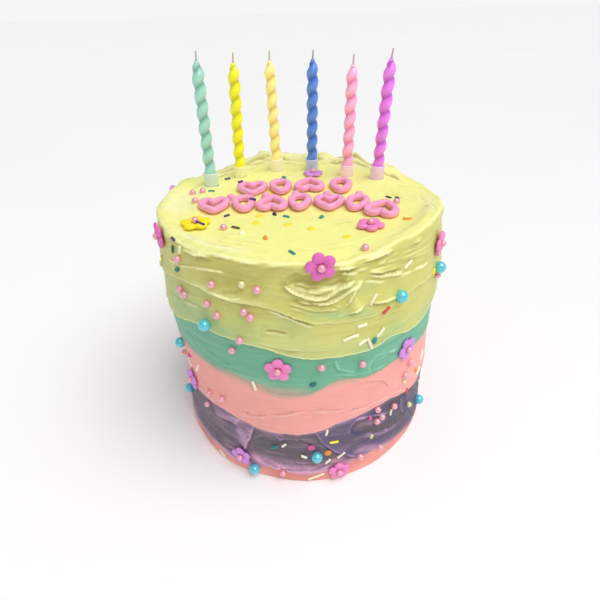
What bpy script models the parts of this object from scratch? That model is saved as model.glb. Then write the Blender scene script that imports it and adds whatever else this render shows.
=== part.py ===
"""A tall round celebration cake, iced in bands, with six candles, flowers and scrollwork on it.

Units: metres, +Z up. The origin is the middle of the cake's underside, and the front faces -Y.
Driving dimensions are in millimetres. Angles on the side are in degrees, 0 at the front and
positive towards +X, and heights on the side are measured from the underside.
"""
import math
import random

import bpy
from mathutils import Euler, Matrix, Vector

MM = 0.001
GAP = 0.3

# Cake body
CAKE_TOP = 151.0
FOOT_INSET = 1.2
FOOT_HEIGHT = 1.2
WAIST_SLANT = 1.9
WAIST_HEIGHT = 48.0
WAIST_REACH = 28.0
COLUMNS = 56
SIDE_PROFILE = ((0, 84.8), (14, 84.3), (45, 83.0), (80, 83.6), (107, 84.8), (122, 84.2),
                (140, 82.8), (151, 81.6), (170, 80.6))

# Lower edges of the bands of icing, as (angle, height), and how far each laps over the next
STRIP_EDGE = ((-165, 7), (-130, 10), (-95, 8), (-54, 9), (-33, 7.5), (-25, 6), (-13, 10),
              (-3, 7.5), (10, 8.5), (28, 13), (42, 10), (60, 5.5), (95, 9), (135, 6))
LILAC_EDGE = ((-165, 46), (-125, 42), (-90, 46), (-52, 45), (-30, 44.5), (-14, 41), (2, 43),
              (12, 47), (36, 51), (52, 47), (90, 43), (135, 49))
PINK_EDGE = ((-170, 76), (-130, 81), (-95, 78), (-53, 79.5), (-25, 78), (-10, 72.5), (3, 73.5),
             (12, 80), (23, 78), (36, 80), (50, 80.5), (90, 77), (130, 82))
TEAL_EDGE = ((-165, 100), (-120, 96), (-85, 97), (-59, 99), (-41, 108), (-28, 108), (-14, 105),
             (0, 99), (12, 97.5), (25, 97), (32, 100), (43, 97.5), (61, 98.5), (100, 102), (140, 97))
SWIPE_EDGE = ((-150, 124), (-100, 118), (-70, 121), (-57, 127), (-42, 132), (-22, 130), (-10, 128),
              (0, 122), (10, 119), (23, 118), (34, 121), (46, 124), (64, 120), (100, 124), (150, 119))
RIM_CREST = ((-180, 155), (-162, 158), (-150, 154.5), (-137, 152), (-120, 153), (-100, 153.5),
             (-80, 153), (-58, 153), (-40, 152), (-22, 152.5), (-8, 151.5), (5, 150.5), (14, 150),
             (30, 152), (46, 154), (60, 155), (76, 153.5), (95, 150.5), (118, 150.5), (131, 154.5),
             (140, 152.5), (148, 156), (158, 153), (167, 157.5))
LAPS = ((STRIP_EDGE, 1.0), (LILAC_EDGE, 1.3), (PINK_EDGE, 0.7), (TEAL_EDGE, 1.6), (SWIPE_EDGE, 1.2))
LAP_FADE = 11.0
LAP_HALF_STEP = 0.5
ROWS_BETWEEN_EDGES = (0, 2, 2, 1, 1, 2)
RIM_RADIUS = 78.8
RIM_SHOULDER = 1.8
RIM_DROP = 6.0
RIM_INNER_REACH = 6.5
TOP_RINGS = (73.5, 67.0, 45.0, 20.0)

# Candles: colour, place of the foot, lean of the wax at its tip, heights above the icing
CANDLES = (("mint", -55.5, 27.0, 0.8, 8.5, 69.9, 76.3),
           ("yellow", -38.6, 44.3, 2.2, 7.2, 66.7, 73.8),
           ("peach", -14.1, 53.8, -1.0, 8.4, 66.4, 73.4),
           ("blue", 10.1, 54.0, 1.3, 7.6, 66.5, 73.1),
           ("rose", 32.7, 38.8, 1.8, 7.3, 64.4, 71.5),
           ("orchid", 51.2, 30.4, 4.0, 8.7, 67.8, 74.5))
CANDLE_PITCH = 8.8
CANDLE_RADIUS = 3.05
CANDLE_SWING = 0.75
CANDLE_SIDES = 6
CANDLE_STEPS_PER_TURN = 4
CANDLE_TIP = 5.0
WICK_RADIUS = 0.6
WICK_SOCKET_DEPTH = 2.0
HOLDER_RADIUS = 4.4
HOLDER_WALL = 0.7
HOLDER_FLOOR = 0.8
HOLDER_DEPTH = 2.5
HOLDER_SIDES = 9

# Moulded flowers: colour, place, turn of the first petal, and a size factor
FLOWER_PETALS = 5
PETAL_CENTRE = 4.35
PETAL_RADIUS = 2.95
PETAL_POINTS = 4
PETAL_SWEEP = 204.0
FLOWER_CROWN_HEIGHT = 1.9
FLOWER_HEART_HEIGHT = 1.1
FLOWER_HEART_RADIUS = 1.7
FLOWER_PEARL_RADIUS = 1.85
FLOWER_REACH = 7.0
TOP_CLEARANCE = 0.3
SIDE_FLOWERS = (("magenta", 6, 149.5, 15, 1.0), ("magenta", -63, 146.5, 30, 1.0),
                ("pink", 62, 138, 10, 1.0), ("pink", -9, 91, 0, 1.0), ("lilac", 43, 84, 20, 1.0),
                ("lilac", -58.5, 49.5, 5, 1.0), ("lilac", -28, 14, 8, 0.95), ("pink", 13, 8.2, 0, 0.95),
                ("lilac", -106, 146, 0, 1.0), ("pink", -152, 88, 12, 1.0),
                ("lilac", 158, 118, 25, 1.0), ("pink", 112, 32, 40, 1.0))
TOP_FLOWERS = (("pink", 36.0, -45.6, 36, 1.0), ("lilac", 10.5, 42.2, 0, 0.92),
               ("lemon", -54.3, -37.5, 10, 1.1))

# Small toppings fused to the icing
PINK_PEARL_RADIUS = 2.0
BLUE_PEARL_RADIUS = 3.3
ROD_RADIUS = 0.75
OVAL_RADIUS = 1.15
CONFETTI_RADIUS = 2.2
PEARL_STAND = 0.55
PINK_PEARLS = ((-46, 143), (-47.8, 125), (-45, 123.3), (-30, 137), (-33, 125), (-29, 120.3),
               (-14, 138), (-19, 125.4), (-16.9, 122.8), (-21, 109), (-25, 100), (6, 92), (21, 89),
               (44, 63.3), (47.3, 70), (30, 48), (32.5, 40), (30, 38.2), (39, 43), (-43.8, 52.6),
               (-35.8, 55), (-47, 40), (32.2, 14.2), (22.3, 14.5), (-10, 7), (64, 117), (-68, 61))
BLUE_PEARLS = ((-34.2, 112.6), (34.8, 124.8), (62.2, 123.5), (-64, 74), (-70.5, 27), (-21.9, 6.9),
               (4, 24), (64.5, 18))
PALE_PEARLS = ((-19, 140), (51, 31))
TOP_PINK_PEARLS = ((-64.6, 10.5), (-59, 13), (-60.5, -4.2), (-39, -43), (30, -70), (55.5, -14))
SIDE_RODS = ((24, 127.5, 6.5, 60), (39.3, 139, 6, 28), (16, 108.5, 8.5, 13), (20, 114.3, 5.5, 5),
             (20.3, 104, 5, 28), (23.2, 102, 8, -68), (27.3, 107, 6, 45), (-18.5, 77, 6, -75),
             (-50, 67, 8, 62), (-59, 63, 6, -50), (3.6, 4.3, 11, 25), (-40, 3, 6, -30),
             (-9, 31, 3.5, 45), (-1, 23, 4, -32), (8, 41.5, 4.5, 78), (14, 20.5, 6, 40),
             (8.5, 17.5, 4.5, 48), (38, 38.5, 5, 80), (61, 61, 7, 70), (57, 53, 6, 35),
             (-73, 123, 6, 0), (66, 31, 6, -70), (11, 33, 5.5, -4), (-13, 28, 4.5, 30),
             (29, 119.5, 5, 40), (46, 49, 4, 70), (-45, 148, 5, 70), (-50, 146, 4.5, 75))
SIDE_OVALS = ((-48, 136), (25, 103), (3, 80), (28, 26.5), (26.8, 43), (54, 57), (-57, 70), (44, 58))
SIDE_CONFETTI = ((2, 30), (8.6, 24.5), (58.7, 122.8), (-70, 128), (-61, 67))
TOP_RODS = ((-47, 40, 4, 30), (53, -4, 4, -50), (-33, -42, 5, -30), (-54, 15.5, 4, 0),
            (-7, -28, 4, -30), (-4, -72, 4.5, -55), (56.5, -38.5, 5, -15), (-39.5, -25.2, 3.5, 40))
TOP_OVALS = ((57.5, -6.5), (-9, 37), (12, -31), (-29, -50), (-17, -56), (-13.5, -24.2))
TOP_CONFETTI = ((-23, -36), (-6, -39), (6, -45), (23, -56), (29, 39), (-21.8, -25.8))
BACK_FIRST = 74
BACK_LAST = 286
BACK_COUNT = 24
BACK_SEED = 7
BACK_SPACING = 11.0

# Scrollwork of rolled icing: open hearts, drops and beads in two rows
STRAND_RADIUS = 2.2
STRAND_SIDES = 5
DROP_STEPS = 9
SCROLL_LIFT = 1.75
HALF_HEART = ((0.0, 0.22), (0.17, 0.44), (0.37, 0.44), (0.49, 0.20), (0.42, -0.12), (0.22, -0.40),
              (0.0, -0.62))
UPPER_SCROLLS = (("heart", -28.2, 14.1, 15.4, 4), ("drop", -10.6, 14.2, 18.5, 94),
                 ("heart", 7.2, 15.2, 15.4, 176), ("drop", 26.5, 13, 18.5, 84))
LOWER_SCROLLS = (("heart", -48, -13.3, 14.6, 8), ("drop", -31.3, -12.5, 17.8, 95),
                 ("heart", -15.1, -12.7, 14.4, 178), ("drop", 0.6, -11.7, 17.8, 86),
                 ("heart", 17.3, -13.3, 14.4, -4), ("drop", 32.8, -16.8, 17.4, 72),
                 ("heart", 45.2, -27.3, 15.5, 158))
BEADS = ((-40, 0), (-19.5, 1.5), (-1.5, 2.3), (17, 0.2), (36, -1))
BEAD_RADIUS = 2.6

COLOURS = {
    "icing_lemon": (0.90, 0.88, 0.42), "icing_teal": (0.17, 0.46, 0.34),
    "icing_pink": (0.90, 0.40, 0.37), "icing_lilac": (0.22, 0.16, 0.28),
    "fondant_pink": (0.93, 0.33, 0.60), "flower_magenta": (0.72, 0.16, 0.48),
    "flower_pink": (0.85, 0.28, 0.52), "flower_lilac": (0.60, 0.30, 0.72),
    "flower_lemon": (0.92, 0.78, 0.02), "holder": (0.82, 0.82, 0.78), "wick": (0.62, 0.60, 0.55),
    "wax_mint": (0.32, 0.72, 0.55), "wax_yellow": (0.85, 0.75, 0.02),
    "wax_peach": (1.00, 0.68, 0.25), "wax_blue": (0.07, 0.19, 0.56),
    "wax_rose": (1.00, 0.33, 0.48), "wax_orchid": (0.62, 0.13, 0.62),
}


def clear_scene():
    for item in list(bpy.data.objects):
        bpy.data.objects.remove(item)


def make_material(name):
    material = bpy.data.materials.new(name)
    material.use_nodes = True
    shader = material.node_tree.nodes["Principled BSDF"]
    shader.inputs["Base Color"].default_value = (*COLOURS[name], 1.0)
    shader.inputs["Roughness"].default_value = 0.45
    shader.inputs["Metallic"].default_value = 0.0
    return material


def material_of(name):
    return bpy.data.materials.get(name) or make_material(name)


def make_object(name, points, faces, material_names, slots=None):
    """Make a closed mesh from points in millimetres."""
    mesh = bpy.data.meshes.new(name)
    mesh.from_pydata([Vector(p) * MM for p in points], [], faces)
    for material_name in material_names:
        mesh.materials.append(material_of(material_name))
    if slots:
        mesh.polygons.foreach_set("material_index", slots)
    mesh.shade_smooth()
    mesh.set_sharp_from_angle(angle=math.radians(50))
    item = bpy.data.objects.new(name, mesh)
    bpy.context.scene.collection.objects.link(item)
    return item


def loft(rings):
    """Points and outward faces of a closed body through rings of points, from bottom to top."""
    count = len(rings[0])
    points = [point for ring in rings for point in ring]
    faces = [tuple(range(count - 1, -1, -1))]
    for level in range(len(rings) - 1):
        base = level * count
        for i in range(count):
            j = (i + 1) % count
            faces.append((base + i, base + j, base + count + j, base + count + i))
    top = (len(rings) - 1) * count
    faces.append(tuple(range(top, top + count)))
    return points, faces


def circle(radius, height, sides, centre=(0.0, 0.0), turn=0.0):
    ring = []
    for i in range(sides):
        angle = 2 * math.pi * i / sides + turn
        ring.append((centre[0] + radius * math.cos(angle), centre[1] + radius * math.sin(angle), height))
    return ring


def around(angle, knots):
    """Smooth closed curve through (angle, value) knots, read at an angle in degrees."""
    first = knots[0][0]
    angle = (angle - first) % 360 + first
    count = len(knots)
    ends = list(knots) + [(knots[0][0] + 360, knots[0][1])]
    i = max(k for k in range(count) if ends[k][0] <= angle)

    def slope(k):
        before = (knots[k - 1][0] - (360 if k == 0 else 0), knots[k - 1][1])
        after = ends[k + 1]
        return (after[1] - before[1]) / (after[0] - before[0])

    (a0, v0), (a1, v1) = ends[i], ends[i + 1]
    width = a1 - a0
    t = (angle - a0) / width
    m0, m1 = slope(i) * width, slope((i + 1) % count) * width
    return (v0 * (2 * t ** 3 - 3 * t ** 2 + 1) + m0 * (t ** 3 - 2 * t ** 2 + t)
            + v1 * (3 * t ** 2 - 2 * t ** 3) + m1 * (t ** 3 - t ** 2))


def along(value, knots):
    """Straight-line curve through (value, result) knots."""
    for (a0, v0), (a1, v1) in zip(knots, knots[1:]):
        if value <= a1:
            t = max(0.0, (value - a0) / (a1 - a0))
            return v0 + (v1 - v0) * t
    return knots[-1][1]


def knife_wave(angle, height):
    """The slow unevenness that the icing knife leaves on the side."""
    turn = math.radians(angle)
    return (0.45 * math.sin(3 * turn + 1.1 + height / 60) + 0.3 * math.sin(7 * turn + height / 23)
            + 0.2 * math.sin(11 * turn - height / 15 + 2.0))


def side_radius(angle, height):
    """Radius of the iced side, with each band lapping over the band below it."""
    lean = math.exp(-((height - WAIST_HEIGHT) / WAIST_REACH) ** 2)
    radius = along(height, SIDE_PROFILE) + WAIST_SLANT * lean * math.sin(math.radians(angle))
    for edge, lap in LAPS:
        above = height - around(angle, edge)
        if above > 0:
            radius += lap * math.exp(-above / LAP_FADE)
    return radius + knife_wave(angle, height)


def top_height(x, y):
    """Height of the top of the icing, with its rim drawn up all round."""
    radius = math.hypot(x, y)
    angle = math.degrees(math.atan2(x, -y))
    crest = around(angle, RIM_CREST) - CAKE_TOP
    rise = crest * math.exp(-((radius - RIM_RADIUS) / RIM_INNER_REACH) ** 2)
    return CAKE_TOP + rise + 0.25 * math.sin(x / 13 + y / 19) + 0.2 * math.sin(y / 11 - x / 29)


def on_circle(angle, radius, height):
    turn = math.radians(angle)
    return (radius * math.sin(turn), -radius * math.cos(turn), height)


def side_levels(angle):
    """Heights of the rings of the side at one angle, from the foot to below the rim."""
    levels = [(0.0, 0), (FOOT_HEIGHT, 0)]
    previous = FOOT_HEIGHT
    last = around(angle, RIM_CREST) - RIM_DROP
    stops = [around(angle, edge) for edge, _ in LAPS] + [last + LAP_HALF_STEP]
    for band, stop in enumerate(stops):
        rows = ROWS_BETWEEN_EDGES[band]
        for row in range(1, rows + 1):
            levels.append((previous + (stop - previous) * row / (rows + 1), band))
        levels.append((stop - LAP_HALF_STEP, band))
        if stop is not stops[-1]:
            levels.append((stop + LAP_HALF_STEP, band + 1))
        previous = stop
    return levels


def make_cake_body():
    """The iced cake, one closed body turned from a profile whose rings follow the bands."""
    columns = []
    for column in range(COLUMNS):
        angle = 360.0 * column / COLUMNS - 180.0
        levels = side_levels(angle)
        line = [on_circle(angle, side_radius(angle, height), height) for height, _ in levels]
        foot = side_radius(angle, FOOT_HEIGHT) - FOOT_INSET
        line[0] = on_circle(angle, foot, 0.0)
        crest = around(angle, RIM_CREST)
        shoulder = side_radius(angle, crest - RIM_SHOULDER) - 0.6
        line.append(on_circle(angle, shoulder, crest - RIM_SHOULDER))
        line.append(on_circle(angle, RIM_RADIUS, crest))
        for radius in TOP_RINGS:
            x, y, _ = on_circle(angle, radius, 0.0)
            line.append((x, y, top_height(x, y)))
        columns.append(line)
    bands = [band for _, band in side_levels(0.0)]
    slot_of_band = (1, 2, 1, 3, 0, 0)
    rows = len(columns[0])
    points = [point for line in columns for point in line]
    faces = []
    slots = []
    for column in range(COLUMNS):
        here = column * rows
        there = ((column + 1) % COLUMNS) * rows
        for row in range(rows - 1):
            faces.append((here + row, there + row, there + row + 1, here + row + 1))
            slots.append(slot_of_band[bands[row + 1]] if row + 1 < len(bands) else 0)
    bottom = len(points)
    points += [(0.0, 0.0, 0.0), (0.0, 0.0, top_height(0.0, 0.0))]
    for column in range(COLUMNS):
        here = column * rows
        there = ((column + 1) % COLUMNS) * rows
        faces.append((bottom, there, here))
        faces.append((bottom + 1, here + rows - 1, there + rows - 1))
        slots += [1, 0]
    names = ["icing_lemon", "icing_pink", "icing_lilac", "icing_teal"]
    return make_object("cake", points, faces, names, slots)


def side_matrix(angle, height, lift, spin=0.0):
    """Frame on the side: Z points out of the cake, X runs round it to the right, Y up."""
    turn = math.radians(angle)
    out = Vector((math.sin(turn), -math.cos(turn), 0.0))
    right = Vector((math.cos(turn), math.sin(turn), 0.0))
    frame = Matrix((right, Vector((0, 0, 1)), out)).transposed().to_4x4()
    place = Vector(on_circle(angle, side_radius(angle, height) + lift, height)) * MM
    return Matrix.Translation(place) @ frame @ Matrix.Rotation(math.radians(spin), 4, "Z")


def side_seat(angle, height, reach):
    """How far a flat back of that reach must stand off the side to clear the icing round it."""
    here = side_radius(angle, height)
    stand = 0.0
    for step in range(24):
        turn = 2 * math.pi * step / 24
        for share in (0.5, 1.0):
            swing = math.asin(reach * share * math.cos(turn) / here)
            level = max(0.0, height + reach * share * math.sin(turn))
            there = side_radius(angle + math.degrees(swing), level)
            stand = max(stand, there * math.cos(swing) - here)
    return stand


def top_matrix(x, y, lift, spin=0.0):
    place = Vector((x, y, top_height(x, y) + lift)) * MM
    return Matrix.Translation(place) @ Matrix.Rotation(math.radians(spin), 4, "Z")


def top_stand(x, y, reach):
    """How far a flat underside of that reach must stand off the top to clear the icing round it."""
    turns = [math.radians(15 * step) for step in range(24)]
    highest = max(top_height(x + reach * math.cos(t), y + reach * math.sin(t)) for t in turns)
    return GAP + TOP_CLEARANCE + max(0.0, highest - top_height(x, y))


def ball_mesh(radius, levels=3, sides=5):
    """A small sphere of few faces, its rings turned against each other."""
    rings = []
    for step in range(1, levels):
        turn = math.pi * step / levels
        twist = math.pi / sides * step
        rings.append(circle(radius * math.sin(turn), -radius * math.cos(turn), sides, turn=twist))
    points, faces = loft(rings)
    points += [(0, 0, -radius), (0, 0, radius)]
    low, high = len(points) - 2, len(points) - 1
    last = (levels - 2) * sides
    faces = faces[1:-1]
    for i in range(sides):
        j = (i + 1) % sides
        faces.append((low, j, i))
        faces.append((high, last + i, last + j))
    return points, faces


def rod_mesh(length):
    """A sugar strand: a short six-sided rod along X."""
    rings = []
    for x in (-length / 2, length / 2):
        rings.append([(z, y, -across) for across, y, z in circle(ROD_RADIUS, x, 6)])
    return loft(rings)


def disc_mesh(radius, thickness, sides=7):
    return loft([circle(radius, -thickness, sides), circle(radius, thickness * 0.6, sides)])


def oval_mesh():
    points, faces = ball_mesh(OVAL_RADIUS)
    return [(x * 1.7, y, z) for x, y, z in points], faces


def add_topping(collection, name, mesh, matrix):
    points, faces = mesh
    item = make_object(name, points, faces, [])
    item.matrix_world = matrix
    collection.objects.link(item)


def spread_on_back():
    """Seeded places of the toppings on the back, well apart and clear of the flowers."""
    draw = random.Random(BACK_SEED)
    taken = [(angle, height, 6.0) for _, angle, height, _, _ in SIDE_FLOWERS]
    chosen = []
    while len(chosen) < BACK_COUNT:
        angle = draw.uniform(BACK_FIRST, BACK_LAST)
        height = draw.uniform(9, 143)
        kind = draw.choice(("pearl", "pearl", "blue", "rod", "rod", "rod", "oval", "confetti"))
        spin = draw.uniform(-80, 80)
        clear = True
        for other, level, room in taken:
            turn = (angle - other + 180) % 360 - 180
            if math.hypot(turn * 1.46, height - level) < BACK_SPACING - 3 + room:
                clear = False
        if clear:
            taken.append((angle, height, 3.0))
            chosen.append((kind, angle, height, spin))
    return chosen


def add_small_toppings(collection):
    """Pearls, strands, ovals and confetti, half sunk in the icing."""
    pearl = ball_mesh(PINK_PEARL_RADIUS)
    blue = ball_mesh(BLUE_PEARL_RADIUS, 3, 6)
    oval = oval_mesh()
    confetti = disc_mesh(CONFETTI_RADIUS, 0.5)
    sunk = PINK_PEARL_RADIUS * PEARL_STAND
    places = [(pearl, side_matrix(a, h, sunk)) for a, h in PINK_PEARLS + PALE_PEARLS]
    places += [(blue, side_matrix(a, h, BLUE_PEARL_RADIUS * PEARL_STAND)) for a, h in BLUE_PEARLS]
    places += [(pearl, top_matrix(x, y, sunk)) for x, y in TOP_PINK_PEARLS]
    places += [(rod_mesh(size), side_matrix(a, h, 0.25, spin)) for a, h, size, spin in SIDE_RODS]
    places += [(rod_mesh(size), top_matrix(x, y, 0.25, spin)) for x, y, size, spin in TOP_RODS]
    places += [(oval, side_matrix(a, h, 0.3, a * 3)) for a, h in SIDE_OVALS]
    places += [(oval, top_matrix(x, y, 0.3, x * 5)) for x, y in TOP_OVALS]
    places += [(confetti, side_matrix(a, h, 0.1)) for a, h in SIDE_CONFETTI]
    places += [(confetti, top_matrix(x, y, 0.1)) for x, y in TOP_CONFETTI]
    back = {"pearl": (pearl, sunk), "blue": (blue, BLUE_PEARL_RADIUS * PEARL_STAND),
            "rod": (rod_mesh(6.0), 0.25), "oval": (oval, 0.3), "confetti": (confetti, 0.1)}
    for kind, angle, height, spin in spread_on_back():
        mesh, lift = back[kind]
        places.append((mesh, side_matrix(angle, height, lift, spin)))
    for number, (mesh, matrix) in enumerate(places):
        add_topping(collection, f"topping_{number:03d}", mesh, matrix)


def apply_boolean(item, collection, operation):
    """Join or cut an object with a whole collection, then remove the collection's objects."""
    change = item.modifiers.new("change", "BOOLEAN")
    change.operation = operation
    change.operand_type = "COLLECTION"
    change.collection = collection
    change.solver = "EXACT"
    graph = bpy.context.evaluated_depsgraph_get()
    mesh = bpy.data.meshes.new_from_object(item.evaluated_get(graph))
    item.modifiers.clear()
    item.data = mesh
    for helper in list(collection.objects):
        bpy.data.objects.remove(helper)
    bpy.data.collections.remove(collection)


def helper_collection(name):
    collection = bpy.data.collections.new(name)
    bpy.context.scene.collection.children.link(collection)
    return collection


def candle_matrix(candle):
    """Frame of a candle: origin at the level of the icing, Z along the leaning candle."""
    _, x, y, lean, _, wax, _ = candle
    tilt = Euler((0.0, math.atan2(lean, wax), 0.0)).to_matrix().to_4x4()
    return Matrix.Translation(Vector((x, y, CAKE_TOP)) * MM) @ tilt


def cut_candle_sockets(cake):
    """Round sockets in the icing that the candle holders stand in."""
    sockets = helper_collection("sockets")
    radius = HOLDER_RADIUS + GAP
    for candle in CANDLES:
        rings = [circle(radius, -HOLDER_DEPTH - GAP, HOLDER_SIDES), circle(radius, 6.0, HOLDER_SIDES)]
        add_topping(sockets, f"socket_{candle[0]}", loft(rings), candle_matrix(candle))
    apply_boolean(cake, sockets, "DIFFERENCE")


def make_holder(candle):
    """A thin plastic cup, open at the top."""
    top = candle[4]
    inner = HOLDER_RADIUS - HOLDER_WALL
    floor = HOLDER_FLOOR - HOLDER_DEPTH
    rings = [circle(HOLDER_RADIUS, -HOLDER_DEPTH, HOLDER_SIDES), circle(HOLDER_RADIUS, top, HOLDER_SIDES),
             circle(inner, top, HOLDER_SIDES), circle(inner, floor, HOLDER_SIDES)]
    item = make_object(f"holder_{candle[0]}", *loft(rings), ["holder"])
    item.matrix_world = candle_matrix(candle)


def make_wax(candle):
    """A twisted candle: a round section swung round in a screw, on a plain shank in its holder."""
    name, _, _, _, holder_top, top, _ = candle
    foot = HOLDER_FLOOR - HOLDER_DEPTH + GAP
    start = holder_top + 1.5
    shank = HOLDER_RADIUS - HOLDER_WALL - GAP
    rings = [circle(shank, foot, CANDLE_SIDES), circle(shank, holder_top - 0.5, CANDLE_SIDES)]
    steps = round((top - start) / CANDLE_PITCH * CANDLE_STEPS_PER_TURN)
    for step in range(steps + 1):
        height = start + (top - start) * step / steps
        turn = math.radians(360 * (height - start) / CANDLE_PITCH - 90)
        taper = min(1.0, math.sqrt(max(0.0, (top - height) / CANDLE_TIP)))
        radius = max(WICK_RADIUS + GAP + 0.5, CANDLE_RADIUS * (0.35 + 0.65 * taper))
        swing = CANDLE_SWING * taper
        centre = (swing * math.cos(turn), swing * math.sin(turn))
        rings.append(circle(radius, height, CANDLE_SIDES, centre))
    bore = WICK_RADIUS + GAP
    rings.append(circle(bore, top, CANDLE_SIDES))
    rings.append(circle(bore, top - WICK_SOCKET_DEPTH, CANDLE_SIDES))
    item = make_object(f"wax_{name}", *loft(rings), [f"wax_{name}"])
    item.matrix_world = candle_matrix(candle)


def make_wick(candle):
    top, tip = candle[5], candle[6]
    foot = top - WICK_SOCKET_DEPTH + GAP
    rings = [circle(WICK_RADIUS, foot, 6), circle(WICK_RADIUS * 0.8, tip, 6)]
    item = make_object(f"wick_{candle[0]}", *loft(rings), ["wick"])
    item.matrix_world = candle_matrix(candle)


def petal_outline(scale, height, factor):
    """Outline of five round petals, with PETAL_POINTS points to each."""
    ring = []
    for petal in range(FLOWER_PETALS):
        middle = math.radians(90 + 72 * petal)
        for step in range(PETAL_POINTS):
            swing = math.radians(PETAL_SWEEP * (step / PETAL_POINTS - 0.5))
            x = PETAL_CENTRE + PETAL_RADIUS * math.cos(swing)
            y = PETAL_RADIUS * math.sin(swing)
            far = math.hypot(x, y) * scale * factor
            turn = middle + math.atan2(y, x)
            ring.append((far * math.cos(turn), far * math.sin(turn), height * factor))
    return ring


def make_flower(name, colour, matrix, factor):
    """A moulded flower of five domed petals with a pearl fused to its middle."""
    count = FLOWER_PETALS * PETAL_POINTS
    rings = [petal_outline(1.0, 0.0, factor), petal_outline(0.78, FLOWER_CROWN_HEIGHT, factor),
             circle(FLOWER_HEART_RADIUS * factor, FLOWER_HEART_HEIGHT * factor, count, turn=math.radians(55))]
    item = make_object(name, *loft(rings), [f"flower_{colour}"])
    item.matrix_world = matrix
    pearl = helper_collection(f"{name}_pearl")
    lift = Matrix.Translation((0, 0, (FLOWER_HEART_HEIGHT * factor + 0.9) * MM))
    add_topping(pearl, f"{name}_ball", ball_mesh(FLOWER_PEARL_RADIUS), matrix @ lift)
    apply_boolean(item, pearl, "UNION")


def make_flowers():
    for number, (colour, angle, height, spin, factor) in enumerate(SIDE_FLOWERS, 1):
        stand = side_seat(angle, height, FLOWER_REACH * factor)
        matrix = side_matrix(angle, height, GAP + stand, spin)
        make_flower(f"flower_side_{number:02d}", colour, matrix, factor)
    for number, (colour, x, y, spin, factor) in enumerate(TOP_FLOWERS, 1):
        matrix = top_matrix(x, y, top_stand(x, y, FLOWER_REACH * factor), spin)
        make_flower(f"flower_top_{number:02d}", colour, matrix, factor)


def heart_path(size):
    """Closed line of an open heart, point downwards, from its right half."""
    right = [(x * size, y * size) for x, y in HALF_HEART]
    left = [(-x, y) for x, y in reversed(right[1:-1])]
    return right + left


def drop_path(size, steps):
    """Closed line of an open drop, round at one end and drawn in at the other."""
    path = []
    for step in range(steps):
        t = 2 * math.pi * step / steps
        path.append((size * 0.5 * math.cos(t), size * 0.36 * math.sin(t) * (0.72 + 0.28 * math.cos(t))))
    return path


def make_strand(name, path, matrix):
    """A rolled strand of icing along a closed line, a little flattened."""
    count = len(path)
    points = []
    for i, (x, y) in enumerate(path):
        before = Vector(path[i - 1])
        after = Vector(path[(i + 1) % count])
        run = (after - before).normalized()
        side = Vector((run.y, -run.x))
        for k in range(STRAND_SIDES):
            turn = 2 * math.pi * k / STRAND_SIDES + math.pi / 2
            reach = STRAND_RADIUS * math.cos(turn)
            points.append((x + side.x * reach, y + side.y * reach, STRAND_RADIUS * 0.8 * math.sin(turn)))
    faces = []
    for i in range(count):
        j = (i + 1) % count
        for k in range(STRAND_SIDES):
            m = (k + 1) % STRAND_SIDES
            faces.append((i * STRAND_SIDES + k, j * STRAND_SIDES + k, j * STRAND_SIDES + m, i * STRAND_SIDES + m))
    item = make_object(name, points, faces, ["fondant_pink"])
    item.matrix_world = matrix


def make_scrollwork():
    for row, scrolls in (("upper", UPPER_SCROLLS), ("lower", LOWER_SCROLLS)):
        for number, (kind, x, y, size, spin) in enumerate(scrolls, 1):
            path = heart_path(size) if kind == "heart" else drop_path(size, DROP_STEPS)
            lift = top_stand(x, y, size / 2 + STRAND_RADIUS) + SCROLL_LIFT
            make_strand(f"scroll_{row}_{number}", path, top_matrix(x, y, lift, spin))
    for number, (x, y) in enumerate(BEADS, 1):
        rings = [circle(BEAD_RADIUS, 0.0, 8), circle(BEAD_RADIUS * 0.94, 1.4, 8),
                 circle(BEAD_RADIUS * 0.5, 2.6, 8)]
        item = make_object(f"scroll_bead_{number}", *loft(rings), ["fondant_pink"])
        item.matrix_world = top_matrix(x, y, top_stand(x, y, BEAD_RADIUS))


def main():
    clear_scene()
    cake = make_cake_body()
    toppings = helper_collection("toppings")
    add_small_toppings(toppings)
    apply_boolean(cake, toppings, "UNION")
    cut_candle_sockets(cake)
    for candle in CANDLES:
        make_holder(candle)
        make_wax(candle)
        make_wick(candle)
    make_flowers()
    make_scrollwork()


main()
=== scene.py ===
"""Looks of a tall round celebration cake: spread icing, sugar toppings, candles and scrollwork.

Sizes in the code are in millimetres and become metres where a mesh is made. Angles on the side
are in degrees, 0 at the front and positive towards +X.
"""
import math
import random

import bpy
import numpy as np
from mathutils import Euler, Matrix, Vector


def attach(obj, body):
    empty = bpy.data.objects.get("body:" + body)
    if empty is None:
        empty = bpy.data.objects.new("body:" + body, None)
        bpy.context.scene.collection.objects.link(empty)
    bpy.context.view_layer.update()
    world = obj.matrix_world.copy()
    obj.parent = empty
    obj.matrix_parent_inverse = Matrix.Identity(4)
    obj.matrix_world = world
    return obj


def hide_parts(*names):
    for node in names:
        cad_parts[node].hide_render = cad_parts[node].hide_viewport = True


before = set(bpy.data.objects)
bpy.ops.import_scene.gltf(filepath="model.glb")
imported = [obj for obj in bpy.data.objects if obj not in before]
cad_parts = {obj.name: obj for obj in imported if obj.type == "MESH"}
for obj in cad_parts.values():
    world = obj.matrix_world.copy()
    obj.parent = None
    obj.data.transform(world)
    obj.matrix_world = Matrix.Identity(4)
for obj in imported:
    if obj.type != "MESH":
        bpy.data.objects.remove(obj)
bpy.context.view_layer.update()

bl_info = {
    "name": "Celebration cake",
    "version": (1, 0, 0),
    "blender": (4, 5, 0),
    "location": "View3D > Sidebar > Cake",
    "description": "Makes the icing, toppings, candles and scrollwork of a tall round cake",
    "category": "Add Mesh",
}

MM = 0.001
GAP = 0.3
# Millimetres round the side in each degree
ARC = 1.475

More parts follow.
